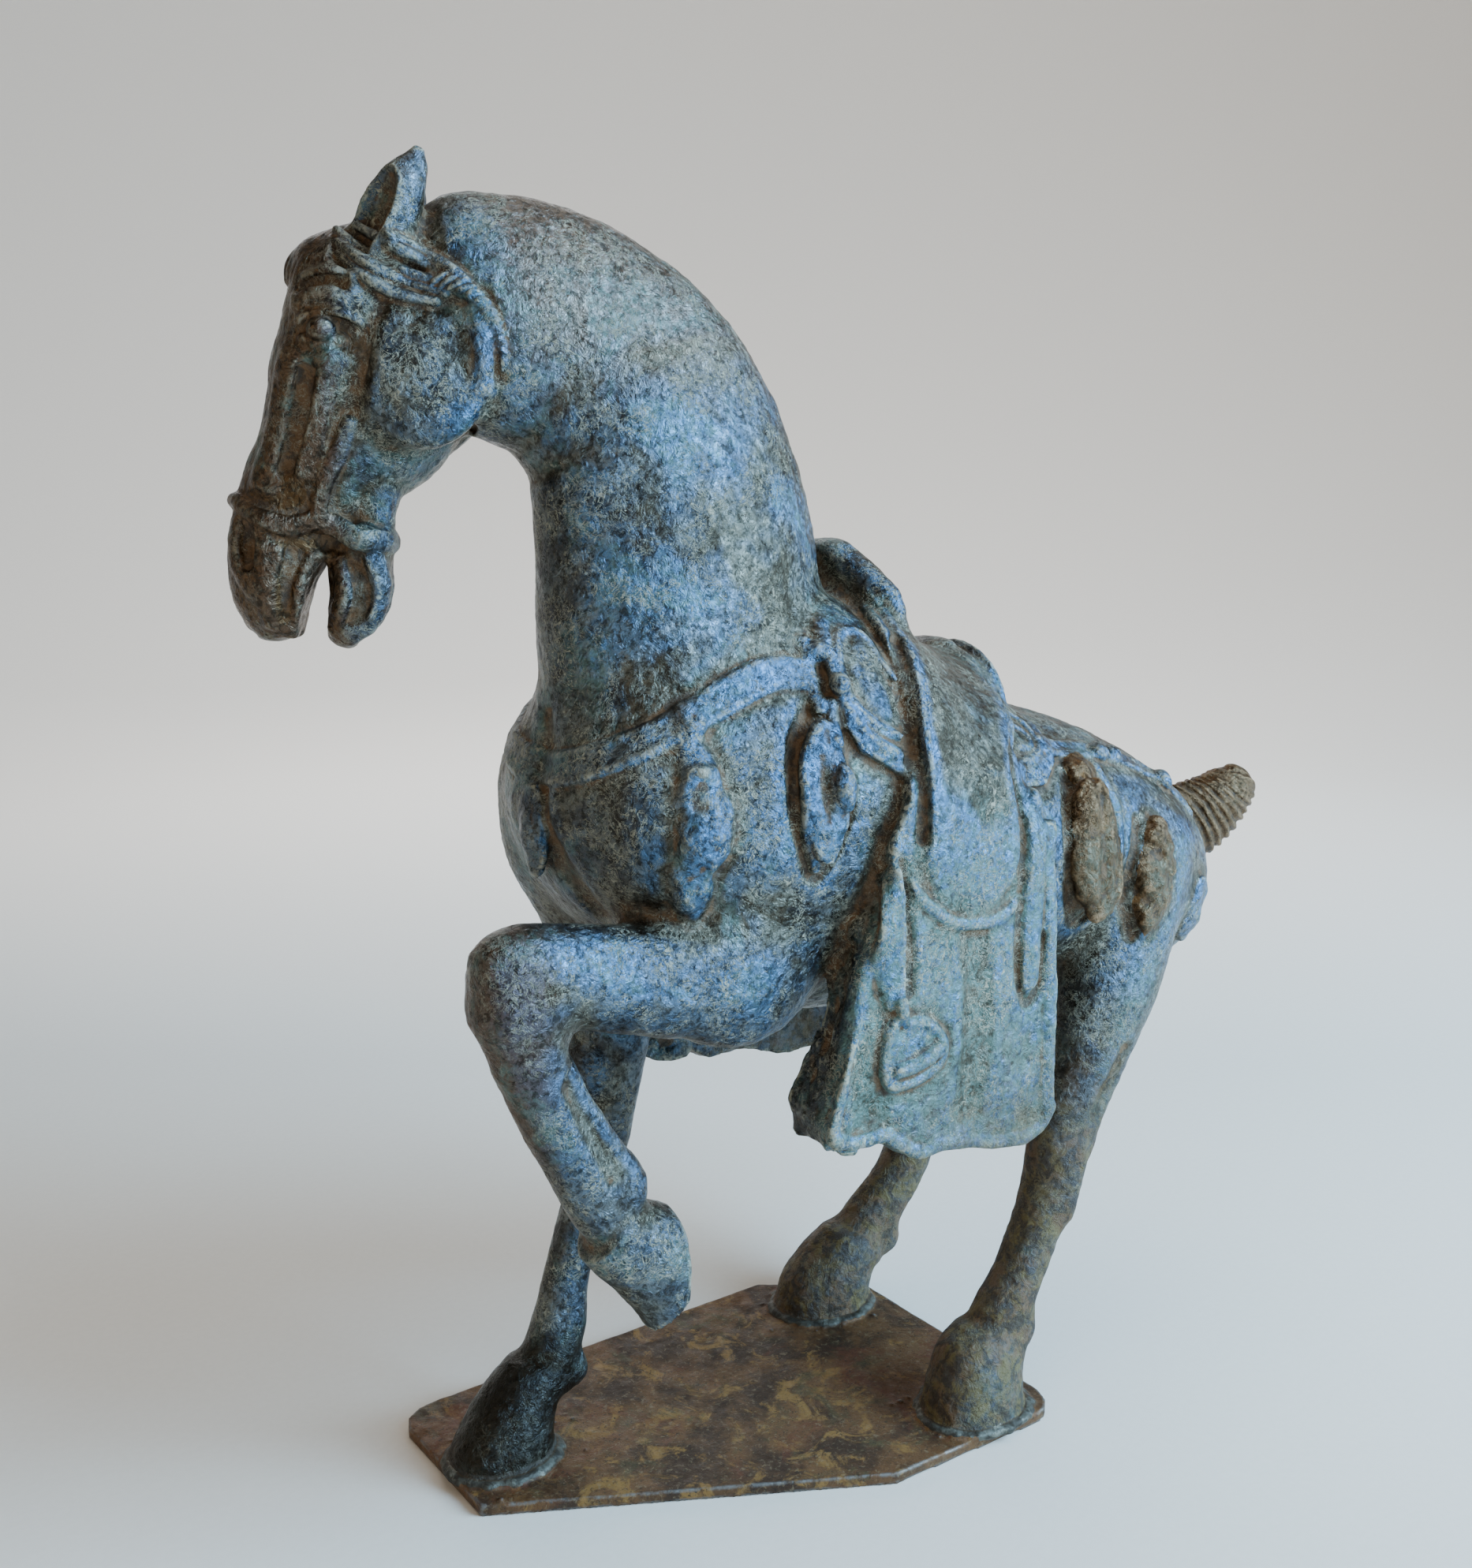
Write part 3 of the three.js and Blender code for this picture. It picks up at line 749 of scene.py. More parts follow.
class Face(Side):
    """Places features on one side of the head, by forward and up from the poll. Points found once
    are kept, so that every block of clay gets the same ones."""

    found = {}

    def at(self, forward, up, lift=0.0):
        key = (self.sign, forward, up)
        if key not in self.found:
            start = on_head(forward, 60 * self.sign, up)
            self.found[key] = self.clay.hit(start, RIGHTWARD * -self.sign)
        point, facing = self.found[key]
        return point + facing * lift, facing

    def ridges(self, rows, lift):
        """Rounded ridges. All are placed on the surface before any is pressed on to it."""
        placed = [(self.line(spots, lift), *shape) for spots, *shape in rows]
        for (points, facing), width, height, blend in placed:
            self.clay.press(band(points, facing, width, height), blend)


def face_bones(face):
    """Cheek, temple, brow, eye and the ridges of the nose."""
    clay, sign = face.clay, face.sign
    cheek = [
        (17, 12, -17, 18, 22),
        (17, 19.5, -18, 19, 21.5),
        (17.5, 23.6, -18, 15, 17),
        (19, 25.8, -17, 8, 9),
    ]
    rows = head_rows([(f, r * sign, u, w, d) for f, r, u, w, d in cheek])
    clay.cast("head", loft(rows, normal=RIGHTWARD * sign, domes=(0, 0.8)), 5, REACH)
    points, facing = face.line([(29, 3), (34, -6), (37, -16), (40, -28), (43, -38)], -0.2)
    clay.carve(band(points, facing, (3, 5, 5, 4, 2.5), (1.6, 3.0, 2.4, 1.8, 1.0)), 5)
    points, facing = face.line([(-1.5, 3), (-5, -6), (-5.5, -13), (-5, -19)], 0.2)
    clay.carve(band(points, facing, 2.2, 2.0), 3)
    # Eye: a socket under the brow, the ball in it, and its lids.
    socket, out = face.at(44.5, -6.5)
    clay.carve(ball(socket + out * 0.6, (8.5, 3.4, 6.0), HEAD_AXES), 3)
    clay.press(ball(socket - out * 1.3, (4.3, 3.9, 3.6), HEAD_AXES), 0.8)
    ridges = (
        (((50.5, -4), (47, -2.2), (43, -1.6), (38, -2.2), (33, -4.5)), 1.4, 1.6, 1.5),
        (((49.5, -9), (44.5, -11.2), (39.5, -9)), 1.2, 1.2, 1.5),
        (((0, 0), (-1.5, -7), (-2, -15), (-0.5, -23)), 2.2, 1.0, 3.5),
        (((51, 2), (46, 4), (39, 4), (32, 1)), 2.6, 1.6, 4.0),
        (((49, 8), (42, 9), (36, 7)), 1.8, 1.1, 3.0),
        (((54, -14), (57, -24), (60, -38), (64, -50)), 2.8, 0.8, 5.0),
        (((40, -15), (44, -25), (48, -36), (52, -46)), 2.8, 0.7, 5.0),
    )
    hollows = (((49, -18), (52, -31), (57, -45)), ((37, 6), (44, 6.8), (50, 5.2)))
    hollows = [face.line(spots) for spots in hollows]
    face.ridges(ridges, 0.2)
    for points, facing in hollows:
        clay.carve(band(points, facing, 1.8, 0.9), 3.5)


def muzzle(face):
    """Nostril, lips and chin."""
    clay = face.clay
    ridges = (
        (((72, -59), (74, -66), (72.5, -74), (69, -80)), 2.6, 1.5, 3.5),
        (((66, -61), (65.5, -68), (67, -75)), 1.8, 1.0, 3.5),
        (((50, -71), (54, -75), (57, -85), (58.5, -94)), 2.2, 1.5, 2.8),
        (((62, -69), (64, -80), (63, -91)), 2.4, 0.8, 4.5),
        (((46, -71), (43, -76), (43.5, -85), (47, -93)), 2.4, 1.4, 3.0),
        (((34, -71), (31.5, -80), (34, -89), (42, -95)), 2.6, 1.1, 4.0),
    )
    face.ridges(ridges, 0.1)
    points, facing = face.line([(69.5, -61.5), (69.8, -67), (70, -73)])
    clay.carve(band(points, facing, (1.4, 2.6, 1.4), (1.2, 3.0, 1.2)), 2.2)
    for spots in (((56, -70), (59.5, -80), (60.5, -91)), ((39, -73), (37.5, -82), (40, -91))):
        points, facing = face.line(spots, 0.2)
        clay.carve(band(points, facing, 2.0, 0.9), 3.4)


def bridle(face):
    """The cheek strap, and the knots where it meets the bit."""
    clay, side = face.clay, face.side
    points, facing = face.line([(38, -32), (42, -41), (46.5, -50), (49, -58)], 0.3)
    clay.cast(f"{side}_cheek_strap", band(points, facing, 2.3, 1.7), 1.8)
    for spot, radii in (((36, -65), (5, 4, 4.2)), ((44, -62.5), (4, 3, 3.2))):
        centre, _ = face.at(*spot)
        clay.cast(f"{side}_bit_ring", ball(centre, radii, HEAD_AXES), 1.6)


def noseband(clay, faces):
    """A strap right round the nose, through points on its sides, its underside and its front."""
    spots = [(70, -57), (64, -60), (57, -62), (50, -60.5), (44, -62), (37, -66), (31, -66)]
    left, right = [list(zip(*faces[side].line(spots, 0.3))) for side, _ in SIDES]
    if "under" not in Face.found:
        for place in (-9, -4, 0, 4, 9):
            point, facing = clay.hit(on_head(110, place, -54.5), -FORWARD)
            Face.found[place] = (point + facing * 0.5, facing)
        Face.found["under"] = clay.hit(on_head(-5, 0, -67), FORWARD)
    front, before, under, after = [
        [Face.found[place] for place in places] for places in ((0,), (-4, -9), ("under",), (9, 4))
    ]
    loop = front + before + left + under + right[::-1] + after
    widths = [2.3, 2.6, 3.0, 3.3, 3.4, 3.4, 3.2]
    half_width = [2.3] * 3 + widths + [3.0] + widths[::-1] + [2.3] * 2
    points, facing = zip(*loop)
    clay.cast("noseband", band(points, facing, half_width, 1.9, closed=True), 1.8)


STRANDS = (
    ((40, 21.5), (31, 15), (21, 10), (11, 6.5)),
    ((39.5, 18), (30, 11.2), (20, 6.4), (9, 3.6)),
    ((39.5, 14.5), (31, 7.6), (22, 3.2), (12, 1.2)),
    ((34, 23), (24, 17), (14, 12), (6, 8)),
    ((25, 20), (16, 15.5), (8, 11), (3, 7)),
)
ROPE = ((13, 8), (6, 6), (-0.5, 1.5), (-4.5, -5), (-6.5, -12), (-6.5, -17))


def side_lock(face):
    """Combed strands from under the ear, wound into a rope that ends in a point."""
    clay, name = face.clay, f"{face.side}_side_lock"
    strands = [face.line(spots, 0.2) for spots in STRANDS]
    points, facing = face.line(ROPE, 0.3)
    for strand, outwards in strands:
        count = len(strand)
        clay.cast(name, band(strand, outwards, [1.4] + [2.0] * (count - 2) + [1.5], 2.1), 0.5)
    clay.cast(name, band(points, facing, (2.4, 2.8, 2.4, 2.0, 1.5, 0.7), 1.8), 1.4)
    count = 15
    rows = spline(np.hstack([points, facing]), count)
    for i in range(1, count - 1):
        along = unit(rows[i + 1, :3] - rows[i - 1, :3])
        out = unit(rows[i, 3:])
        across = np.cross(out, along)
        twist = unit(along + 1.1 * across)
        size = 4.2 * (1 - 0.045 * i)
        axes = [twist, np.cross(out, twist), out]
        clay.cast(name, ball(rows[i, :3] + out * 0.6, (size, size * 0.34, size * 0.72), axes), 0.4)


def forelock(clay):
    """A tuft that overhangs the brow, in seven locks."""
    clay.cast("forelock", ball(on_head(45, 0, 14), (10, 13, 8.5), HEAD_AXES), 3.0)
    for right in (-10.5, -7, -3.5, 0, 3.5, 7, 10.5):
        drop = abs(right) * 0.4
        path = [
            on_head(34 - drop, right * 0.8, 24.5 - drop),
            on_head(45 - drop, right, 22 - drop),
            on_head(53.5 - drop, right * 1.1, 16 - drop),
            on_head(55.5 - drop, right * 1.15, 10 - drop),
            on_head(51.5 - drop, right * 1.1, 5.5 - drop),
        ]
        facing = [Z_AXIS, unit(FORWARD + Z_AXIS * 2), unit(FORWARD + Z_AXIS), FORWARD, FORWARD]
        lock = band(path, facing, (1.2, 2.2, 2.5, 2.2, 1.0), (1.2, 2.0, 2.3, 2.0, 0.9))
        clay.cast("forelock", lock, 1.2)


def open_mouth(clay):
    """The gap between the lips, which goes right through."""
    outline = [(48.5, -72), (52.5, -79), (55.5, -88), (58, -101), (50.2, -101), (49.6, -92), (47.6, -82)]
    clay.carve(prism(outline, POLL, FORWARD, Z_AXIS, RIGHTWARD, -30, 30), 1.2)


def head_features(clay):
    faces = {side: Face(clay, side, sign) for side, sign in SIDES}
    for face in faces.values():
        face_bones(face)
    for face in faces.values():
        muzzle(face)
    open_mouth(clay)
    for face in faces.values():
        bridle(face)
    noseband(clay, faces)
    for face in faces.values():
        side_lock(face)
    forelock(clay)


# --- Saddle, cloth and mudguards ----------------------------------------------------------------------

CLOTH_THICK = 3.0
SKIRT_THICK = 4.5
LOBE_THICK = 2.5
SKIRT_Y = (12.0, 90.0)  # from inside the torso to outside the saddle
FLAP_Y = (54.0, 66.0)
FLAP_RETURN_Y = (46.0, 61.5)
CLOTH = [(4, 330), (3, 262), (8, 254), (22, 246), (40, 234), (96, 234), (107, 240), (110, 250), (108, 330)]
SKIRT = [
    (40, 300), (30, 276), (26, 255), (21, 236), (15, 221), (25, 207), (38, 197), (54, 193.5),
    (68, 197), (76, 208), (76, 226), (77, 245), (92, 262), (104, 300),
]
LOBE = [
    (48, 320), (36, 284), (30, 268), (28, 250), (27, 230), (28, 215), (36, 204), (49, 199),
    (61, 202), (68, 212), (69, 230), (71, 247), (86, 266), (98, 320),
]
FLAP = [
    (18, 224), (11, 201), (4, 180), (-4, 157), (-11, 137), (-9, 131), (-2, 128), (6, 128),
    (13, 127), (20, 122), (28, 117.5), (38, 118.5), (50, 116), (62, 112.5), (78, 111),
    (86, 113), (90.5, 119), (91, 150), (89, 190), (87, 224),
]
FLAP_RETURN = [
    (13, 215), (7, 192), (0, 168), (-6, 150), (-11.5, 138), (-9, 127.5), (2, 125), (14, 125),
    (24, 215),
]


def smooth_outline(points, per_side=6):
    """The same closed outline with its corners eased."""
    ring = list(points) + list(points[:3])
    rows = spline(ring, (len(ring) - 1) * per_side + 1)
    return [tuple(row) for row in rows[per_side : -per_side - 1]]


def raised(clay, name, thickness, outline, blend, low=-90.0, high=90.0):
    """A layer over the torso with the given outline, as seen from the side."""
    where, torso = clay.raw["torso"][0]
    mask_where, mask = clay.field(slab(outline, low, high), REACH)
    full = np.full(clay.shape, FAR, np.float32)
    full[mask_where] = mask
    values = -merge(-(torso - thickness), -full[where], 2.0)
    clay.cast_field(name, where, values.astype(np.float32), blend)


def on_side(distances, sign):
    """Two distances from the middle of the body, on the given side, lower y first."""
    return sorted(sign * distance for distance in distances)


def saddle_layers(clay):
    """The cloth, and on each side a skirt with a thicker lobe."""
    raised(clay, "saddle_cloth", CLOTH_THICK, CLOTH, 1.5)
    skirt = CLOTH_THICK + SKIRT_THICK
    for side, sign in SIDES:
        name = f"{side}_saddle_skirt"
        low, high = on_side(SKIRT_Y, sign)
        raised(clay, name, skirt, smooth_outline(SKIRT), 1.5, low, high)
        raised(clay, name, skirt + LOBE_THICK, smooth_outline(LOBE), 2.5, low, high)


def mudguards(clay):
    """Stiff panels that hang from the saddle, rough inside, with a rolled hem."""
    for side, sign in SIDES:
        name = f"{side}_mudguard"
        face_y = FLAP_Y[1] * sign
        clay.cast(name, slab(FLAP, *on_side(FLAP_Y, sign)), 3.0, rough=0.5, size=11)
        clay.cast(name, slab(FLAP_RETURN, *on_side(FLAP_RETURN_Y, sign)), 2.0, rough=2.2, size=9)
        clay.press(ball((40, sign * 61, 165), (42, 6.6, 50)), 4, REACH)
        lip = [(x, face_y - 0.4 * sign, z + 2) for x, z in FLAP[5:17]]
        clay.cast(name, band(lip, Y_AXIS * sign, 2.0, 1.8), 1.8)
        ribs = (
            (((88.5, 122), (88.5, 150), (87, 185), (85, 216)), 2.8, 1.5, 1.6),
            ([(x + 1.8, z) for x, z in FLAP[0:6]], 1.8, 1.5, 1.6),
        )
        for path, width, height, blend in ribs:
            points = [(x, face_y - 0.3 * sign, z) for x, z in path]
            clay.press(band(points, Y_AXIS * sign, width, height), blend)
        edge = ((12, 210), (2, 185), (-6, 158), (-13, 138))
        hollow = [(x, face_y - 4.0 * sign, z) for x, z in edge]
        clay.carve(band(hollow, Y_AXIS * sign, 1.4, 4.0), 1.6)
        for path in (((8, 185), (4, 160), (6, 136)), ((50, 190), (52, 160), (50, 128))):
            points = [(x, face_y + 2.2 * sign, z) for x, z in path]
            clay.carve(band(points, Y_AXIS * sign, 6, 2.4), 5)


def arch_rows(x, crown, half_width, thick, lean):
    """Stations up a rounded arch across the saddle, whose crown leans forward."""
    return [
        (x, 0, 228, half_width, thick),
        (x, 0, crown - 26, half_width, thick),
        (x - lean / 2, 0, crown - 10, half_width * 0.74, thick),
        (x - lean, 0, crown - 1, half_width * 0.36, thick * 0.7),
    ]


SEAT = [
    (42, 0, 268, 30, 24),
    (60, 0, 261, 33, 23),
    (78, 0, 257, 33, 23),
    (98, 0, 253, 30, 24),
]


def saddle_seat(clay):
    """Pommel, cantle and the dished seat between them, with a rim behind."""
    pommel = loft(arch_rows(46, 317, 33, 10, 7), normal=Z_AXIS, domes=(0, 3))
    cantle = loft(arch_rows(91, 281, 31, 10, 2), normal=Z_AXIS, domes=(0, 3))
    clay.cast("saddle_pommel", pommel, 5, REACH)
    clay.cast("saddle_pommel", ball((40, 0, 283), (13, 25, 22)), 8, REACH)
    clay.cast("saddle_cantle", cantle, 5, REACH)
    clay.cast("saddle_seat", loft(SEAT, normal=X_AXIS, domes=(3, 3)), 6, REACH)
    clay.carve(ball((70, 0, 302), (19, 22, 16)), 8, REACH)
    rim = [(101, 26 * math.sin(a), 256 + 23 * math.cos(a)) for a in np.radians(np.linspace(-90, 90, 13))]
    clay.press(band(rim, X_AXIS, 2.4, 1.6), 2.5)


class Flank(Side):
    """Places raised work on one side of the body, by x and z as seen from that side."""

    outside = 95.0  # clear of the body
    rump = 28.0  # how far out the middle of the rump's side is

    def at(self, x, z, lift=0.0, turn=0.0):
        """The surface at x and z, met from the side, or from turn degrees behind it."""
        behind = math.radians(turn)
        inward = vec(-math.sin(behind), -self.sign * math.cos(behind), 0)
        start = vec(x, self.outside * self.sign, z)
        if turn:
            start = vec(x, self.rump * self.sign, z) - inward * self.outside
        point, facing = self.clay.hit(start, inward, self.outside)
        return point + facing * lift, facing

    def rib(self, name, spots, width, height, lift=0.0, blend=1.3, closed=False):
        points, facing = self.line(spots, lift)
        mesh = band(points, facing, width, height, closed=closed)
        if name:
            self.clay.cast(name, mesh, blend)
        else:
            self.clay.press(mesh, blend)

    def groove(self, spots, width, depth, lift=0.0, blend=1.6):
        points, facing = self.line(spots, lift)
        self.clay.carve(band(points, facing, width, depth), blend)

    def lump(self, name, spot, radii, lift=0.0, blend=1.3, lean=0.0, turn=0.0, rough=0.0, size=6.0):
        """A lump on the surface. radii are half its width, height and thickness; lean is in degrees."""
        point, facing = self.at(*spot, lift, turn)
        down = unit(-Z_AXIS + facing * facing[2])
        across = np.cross(down, facing)
        c, s = math.cos(math.radians(lean)), math.sin(math.radians(lean))
        mesh = ball(point, radii, [across * c + down * s, down * c - across * s, facing])
        self.clay.cast(name, mesh, blend, rough=rough, size=size)


PANEL = ((14, 290), (24, 289), (26, 280), (29, 269), (27, 259), (20, 259), (12, 264), (7, 272), (8, 282))
CLOTH_FRONT = ((10, 294), (4.5, 282), (4.5, 270), (11, 259), (22, 252))
REAR_CORNER = ((90, 258), (97, 257), (102, 252), (101, 246), (94, 243), (84, 243))
REAR_INNER = ((89, 254), (95, 253), (98, 250), (96, 247), (88, 247))
SKIRT_RIM = SKIRT[3:12]


def saddle_edges(flank):
    """Raised borders on the cloth and the skirt."""
    flank.rib(None, PANEL, 1.1, 0.8, blend=1.8, closed=True)
    flank.rib(None, CLOTH_FRONT, 1.2, 0.9, blend=2.0)
    flank.rib(None, REAR_CORNER, 1.1, 0.9, blend=1.6)
    flank.rib(None, REAR_INNER, 0.9, 0.7, blend=1.4)
    flank.rib(None, SKIRT_RIM, 1.7, 1.5, blend=1.8)
    flank.groove(((35, 287), (28.5, 271), (26, 255), (25.5, 241), (25.5, 226)), 1.8, 1.7, blend=3.0)


STIRRUP_RING = (
    (16, 168), (12.5, 163), (11.5, 151), (15, 146), (25, 146.5),
    (34, 151), (34.5, 158), (27.5, 164.5), (20, 166),
)
THONG_EDGE = ((72, 238), (71.5, 222), (71, 200), (71, 180), (73, 166), (77, 161.5), (81, 166), (83, 184))


def mudguard_relief(flank):
    """Stirrup leather, stirrup and hanging thong, all cast on."""
    flank.groove(((17, 219), (19.5, 205), (21, 190), (21, 176)), 2.2, 2.0, blend=2.4)
    leather = ((15, 216), (13, 202), (13, 188), (15, 173))
    flank.rib(f"{flank.side}_stirrup_leather", leather, (3, 5.2, 5.4, 3.8), 1.6, blend=2.0)
    name = f"{flank.side}_stirrup"
    flank.rib(name, STIRRUP_RING, 2.3, 2.1, blend=1.4, closed=True)
    flank.lump(name, (22, 157), (10, 9, 1.6), blend=1.0)
    flank.rib(name, ((15.5, 151), (24, 152.5), (33.5, 156)), 2.8, 2.3, 0.4, 1.2)
    flank.rib(name, ((16, 174), (17, 170)), 2.6, 2.0, 0.3, 1.2)
    name = f"{flank.side}_saddle_thong"
    flank.groove(THONG_EDGE, 1.6, 1.6, blend=2.2)
    thong = ((79, 238), (78.5, 222), (78, 200), (77.5, 182), (77, 168))
    flank.rib(name, thong, 4.2, 1.8, blend=1.8)
    flank.lump(name, (80, 241), (4.5, 4.5, 3), 0.3, 2.0)
    flank.lump(name, (80, 232), (3.4, 4.4, 2.8), 0.3, 2.0)


def breast_strap(clay):
    """One strap right round the chest, with a bead along each edge."""
    rows = []
    for angle in np.radians(np.arange(-100, 100.1, 10)):
        inward = vec(math.cos(angle), math.sin(angle), 0)
        height = 250 + 29 * math.sin(angle) ** 2
        rows.append(clay.hit(vec(-12, 0, height) - inward * 120, inward, 118))
    points = np.array([p for p, _ in rows])
    facing = np.array([n for _, n in rows])
    clay.cast("breast_strap", band(points, facing, 4.6, 1.1), 2.2, rough=0.3, size=7)
    along = unit(np.gradient(points, axis=0))
    across = np.cross(facing, along)
    for edge in (-1, 1):
        bead = points + across * 3.9 * edge + facing * 0.2
        clay.cast("breast_strap", band(bead, facing, 1.2, 0.9), 1.8)


def chest(clay):
    """The cleft down the front of the chest, and the swelling on either side of it."""
    for sign in (-1, 1):
        clay.cast("torso", ball((-50, 33 * sign, 237), (17, 15, 25)), 8, REACH)
        clay.cast("torso", ball((-61, 16 * sign, 239), (14, 14, 21)), 8, REACH)
    spots = ((2, 266), (-2, 250), (-5, 234), (-9, 218), (-14, 204))
    rows = [clay.hit(vec(-140, y, z), X_AXIS, 120) for y, z in spots]
    points = [p + n * 0.8 for p, n in rows]
    facing = [n for _, n in rows]
    clay.carve(band(points, facing, (2, 4, 5, 5, 3), (1.4, 2.6, 3.0, 2.8, 1.6)), 5)


def shoulder_pendant(flank):
    """A long leaf in a sunk border, with a boss on it."""
    name = f"{flank.side}_shoulder_pendant"
    edge = ((-6, 268), (-13, 260), (-16.5, 249), (-16.5, 236))
    edge += ((-13.5, 224), (-9, 215.5), (-3, 225), (2, 236))
    flank.groove(edge, 2.3, 2.4, blend=2.6)
    flank.lump(name, (-6, 243), (8.4, 23, 3.2), blend=2.0, rough=0.7, size=6)
    flank.rib(name, ((-9, 219), (-13, 229), (-14, 241), (-13, 253), (-8, 263)), 1.5, 1.4, 0.3, 2.0)
    flank.groove(((-8, 254), (-8.6, 245), (-7.4, 234)), 1.8, 1.6, 1.0, 2.0)
    flank.lump(name, (-2, 244), (3.8, 8.0, 4.2), 1.0, 1.4, rough=0.5, size=4)
    flank.rib(name, ((1.5, 269), (0, 263), (-2, 258)), 2.6, 2.2, 0.3, 1.8)


def chest_pendant(flank):
    """A heavy tassel of knots, half sunk in the swelling of the chest."""
    name = f"{flank.side}_chest_pendant"
    knots = (
        ((-46, 267), (6, 5.5, 3.0), 0.0, 3.0, 0),
        ((-48, 254), (5, 10, 3.2), 0.0, 3.5, 0),
        ((-47, 238), (8.5, 15, 5.0), 0.0, 3.5, 8),
        ((-50, 220), (6, 16, 3.8), -0.4, 3.5, 4),
    )
    for spot, radii, lift, blend, lean in knots:
        flank.lump(name, spot, radii, lift, blend, lean, rough=1.3, size=6.5)


def centre_pendant(clay):
    """A tassel on the front of the chest."""
    middle, _ = clay.hit(vec(-150, 0, 230), X_AXIS, 140)
    axes = [Y_AXIS, Z_AXIS, X_AXIS]
    clay.cast("centre_chest_pendant", ball(middle, (7, 15, 3.0), axes), 3.0, rough=0.8, size=7)
    clay.cast("centre_chest_pendant", ball(middle - X_AXIS * 1.2, (3.2, 7.0, 2.6), axes), 2.5)


def croup_pendants(flank):
    """Masses of knots over the croup, the thigh and the rump."""
    side = flank.side
    name = f"{side}_croup_pendant"
    edge = ((112, 234), (106, 222), (105, 206), (108, 191), (115, 181), (122, 185))
    flank.groove(edge, 2.2, 1.8, blend=2.8)
    flank.lump(name, (118, 209), (12, 27, 6.0), -0.3, 3.0, rough=1.6, size=7.5)
    flank.lump(name, (121, 235), (9, 7, 4.4), -0.2, 3.0, 12, rough=0.8, size=5)
    flank.groove(((119, 228), (117.5, 212), (117, 198), (118, 188)), 1.8, 1.4, 0.4, 3.0)
    border = ((133, 236), (134.5, 222), (131.5, 206), (127, 192), (120, 179))
    flank.rib(None, border, 1.3, 1.1, blend=2.2)
    name = f"{side}_thigh_pendant"
    flank.groove(((145, 216), (140.5, 204), (136.5, 188), (140, 173)), 2.0, 1.6, blend=2.8)
    flank.lump(name, (151.5, 195), (9, 22, 5.0), -0.3, 3.0, -10, rough=1.7, size=6)
    name = f"{side}_rump_pendant"
    flank.lump(name, (180, 174), (7.5, 14, 2.6), -0.4, 3.0, 0.0, 25, rough=0.9, size=6)


def straps_and_bosses(flank):
    """The crupper strap with a bead along each edge, its bosses, and the bosses on the breast strap."""
    side = flank.side
    strap = ((104, 246), (118, 243), (132, 241), (146, 238), (162, 233), (176, 227), (188, 220), (199, 211))
    points, facing = flank.line(strap)
    points, facing = np.array(points), np.array(facing)
    across = unit(np.cross(facing, np.gradient(points, axis=0)))
    name = f"{side}_crupper_strap"
    flank.clay.cast(name, band(points, facing, 3.4, 1.1), 2.2, rough=0.3, size=7)
    for edge in (-1, 1):
        flank.clay.cast(name, band(points + across * 2.8 * edge, facing, 1.0, 0.9), 1.8)
    bosses = (
        ((139, 240), (4.4, 4.4, 3.2)),
        ((150, 238), (3.4, 3.8, 2.2)),
        ((180, 225), (4.4, 4.2, 2.8)),
    )
    for spot, radii in bosses:
        flank.lump(f"{side}_crupper_boss", spot, radii, 0.3, 1.8, rough=0.4, size=4)
    for spot, radii in (((3, 284), (3.4, 4.4, 3)), ((4, 275), (3.4, 3.8, 3))):
        flank.lump(f"{side}_breast_boss", spot, radii, 0.4, 1.4)
    flank.rib(f"{side}_breast_boss", ((0.5, 288), (-1.5, 278), (-3, 267)), 2.2, 1.4, 0.2, 1.8)


def saddlery(clay):
    saddle_layers(clay)
    mudguards(clay)
    saddle_seat(clay)
    chest(clay)
    flanks = [Flank(clay, side, sign) for side, sign in SIDES]
    for flank in flanks:
        saddle_edges(flank)
    for flank in flanks:
        mudguard_relief(flank)
    breast_strap(clay)
    for flank in flanks:
        shoulder_pendant(flank)
        chest_pendant(flank)
    centre_pendant(clay)
    for flank in flanks:
        straps_and_bosses(flank)
        croup_pendants(flank)


def tail(clay):
    """A docked tail, plaited: slanting lobes that meet along the top and the bottom."""
    steps = 61
    rows = spline(TAIL, steps)
    clay.cast("tail", loft(TAIL, domes=(0, 4)), 5, REACH)
    tangents = unit(np.gradient(rows[:, :3], axis=0))
    lobes = 12
    around = np.radians([88, 62, 36, 10, -16, -42, -66])
    for i in range(lobes):
        for side in (-1, 1):
            path, facing = [], []
            for k, angle in enumerate(around):
                at = min(int(14 + (steps - 20) * i / (lobes - 1) + 1.5 * k), steps - 1)
                across = unit(Y_AXIS - tangents[at] * tangents[at, 1])
                up = np.cross(tangents[at], across)
                beside, above = across * side * math.cos(angle), up * math.sin(angle)
                path.append(rows[at, :3] + beside * rows[at, 3] + above * rows[at, 4])
                facing.append(beside + above)
            clay.cast("tail", band(path, facing, 1.35, 1.5), 0.8)


def plate_outline():
    """A rectangle with two corners cut off and two rounded, from above."""
    corner = [(88, -67), (93, -66), (97.5, -62), (100, -56)]
    rounded = [(64, 71), (-84, 71), (-92, 70), (-98.5, 66), (-101, 60)]
    return [(-101, 4), (22, -64)] + corner + [(101, 42)] + rounded


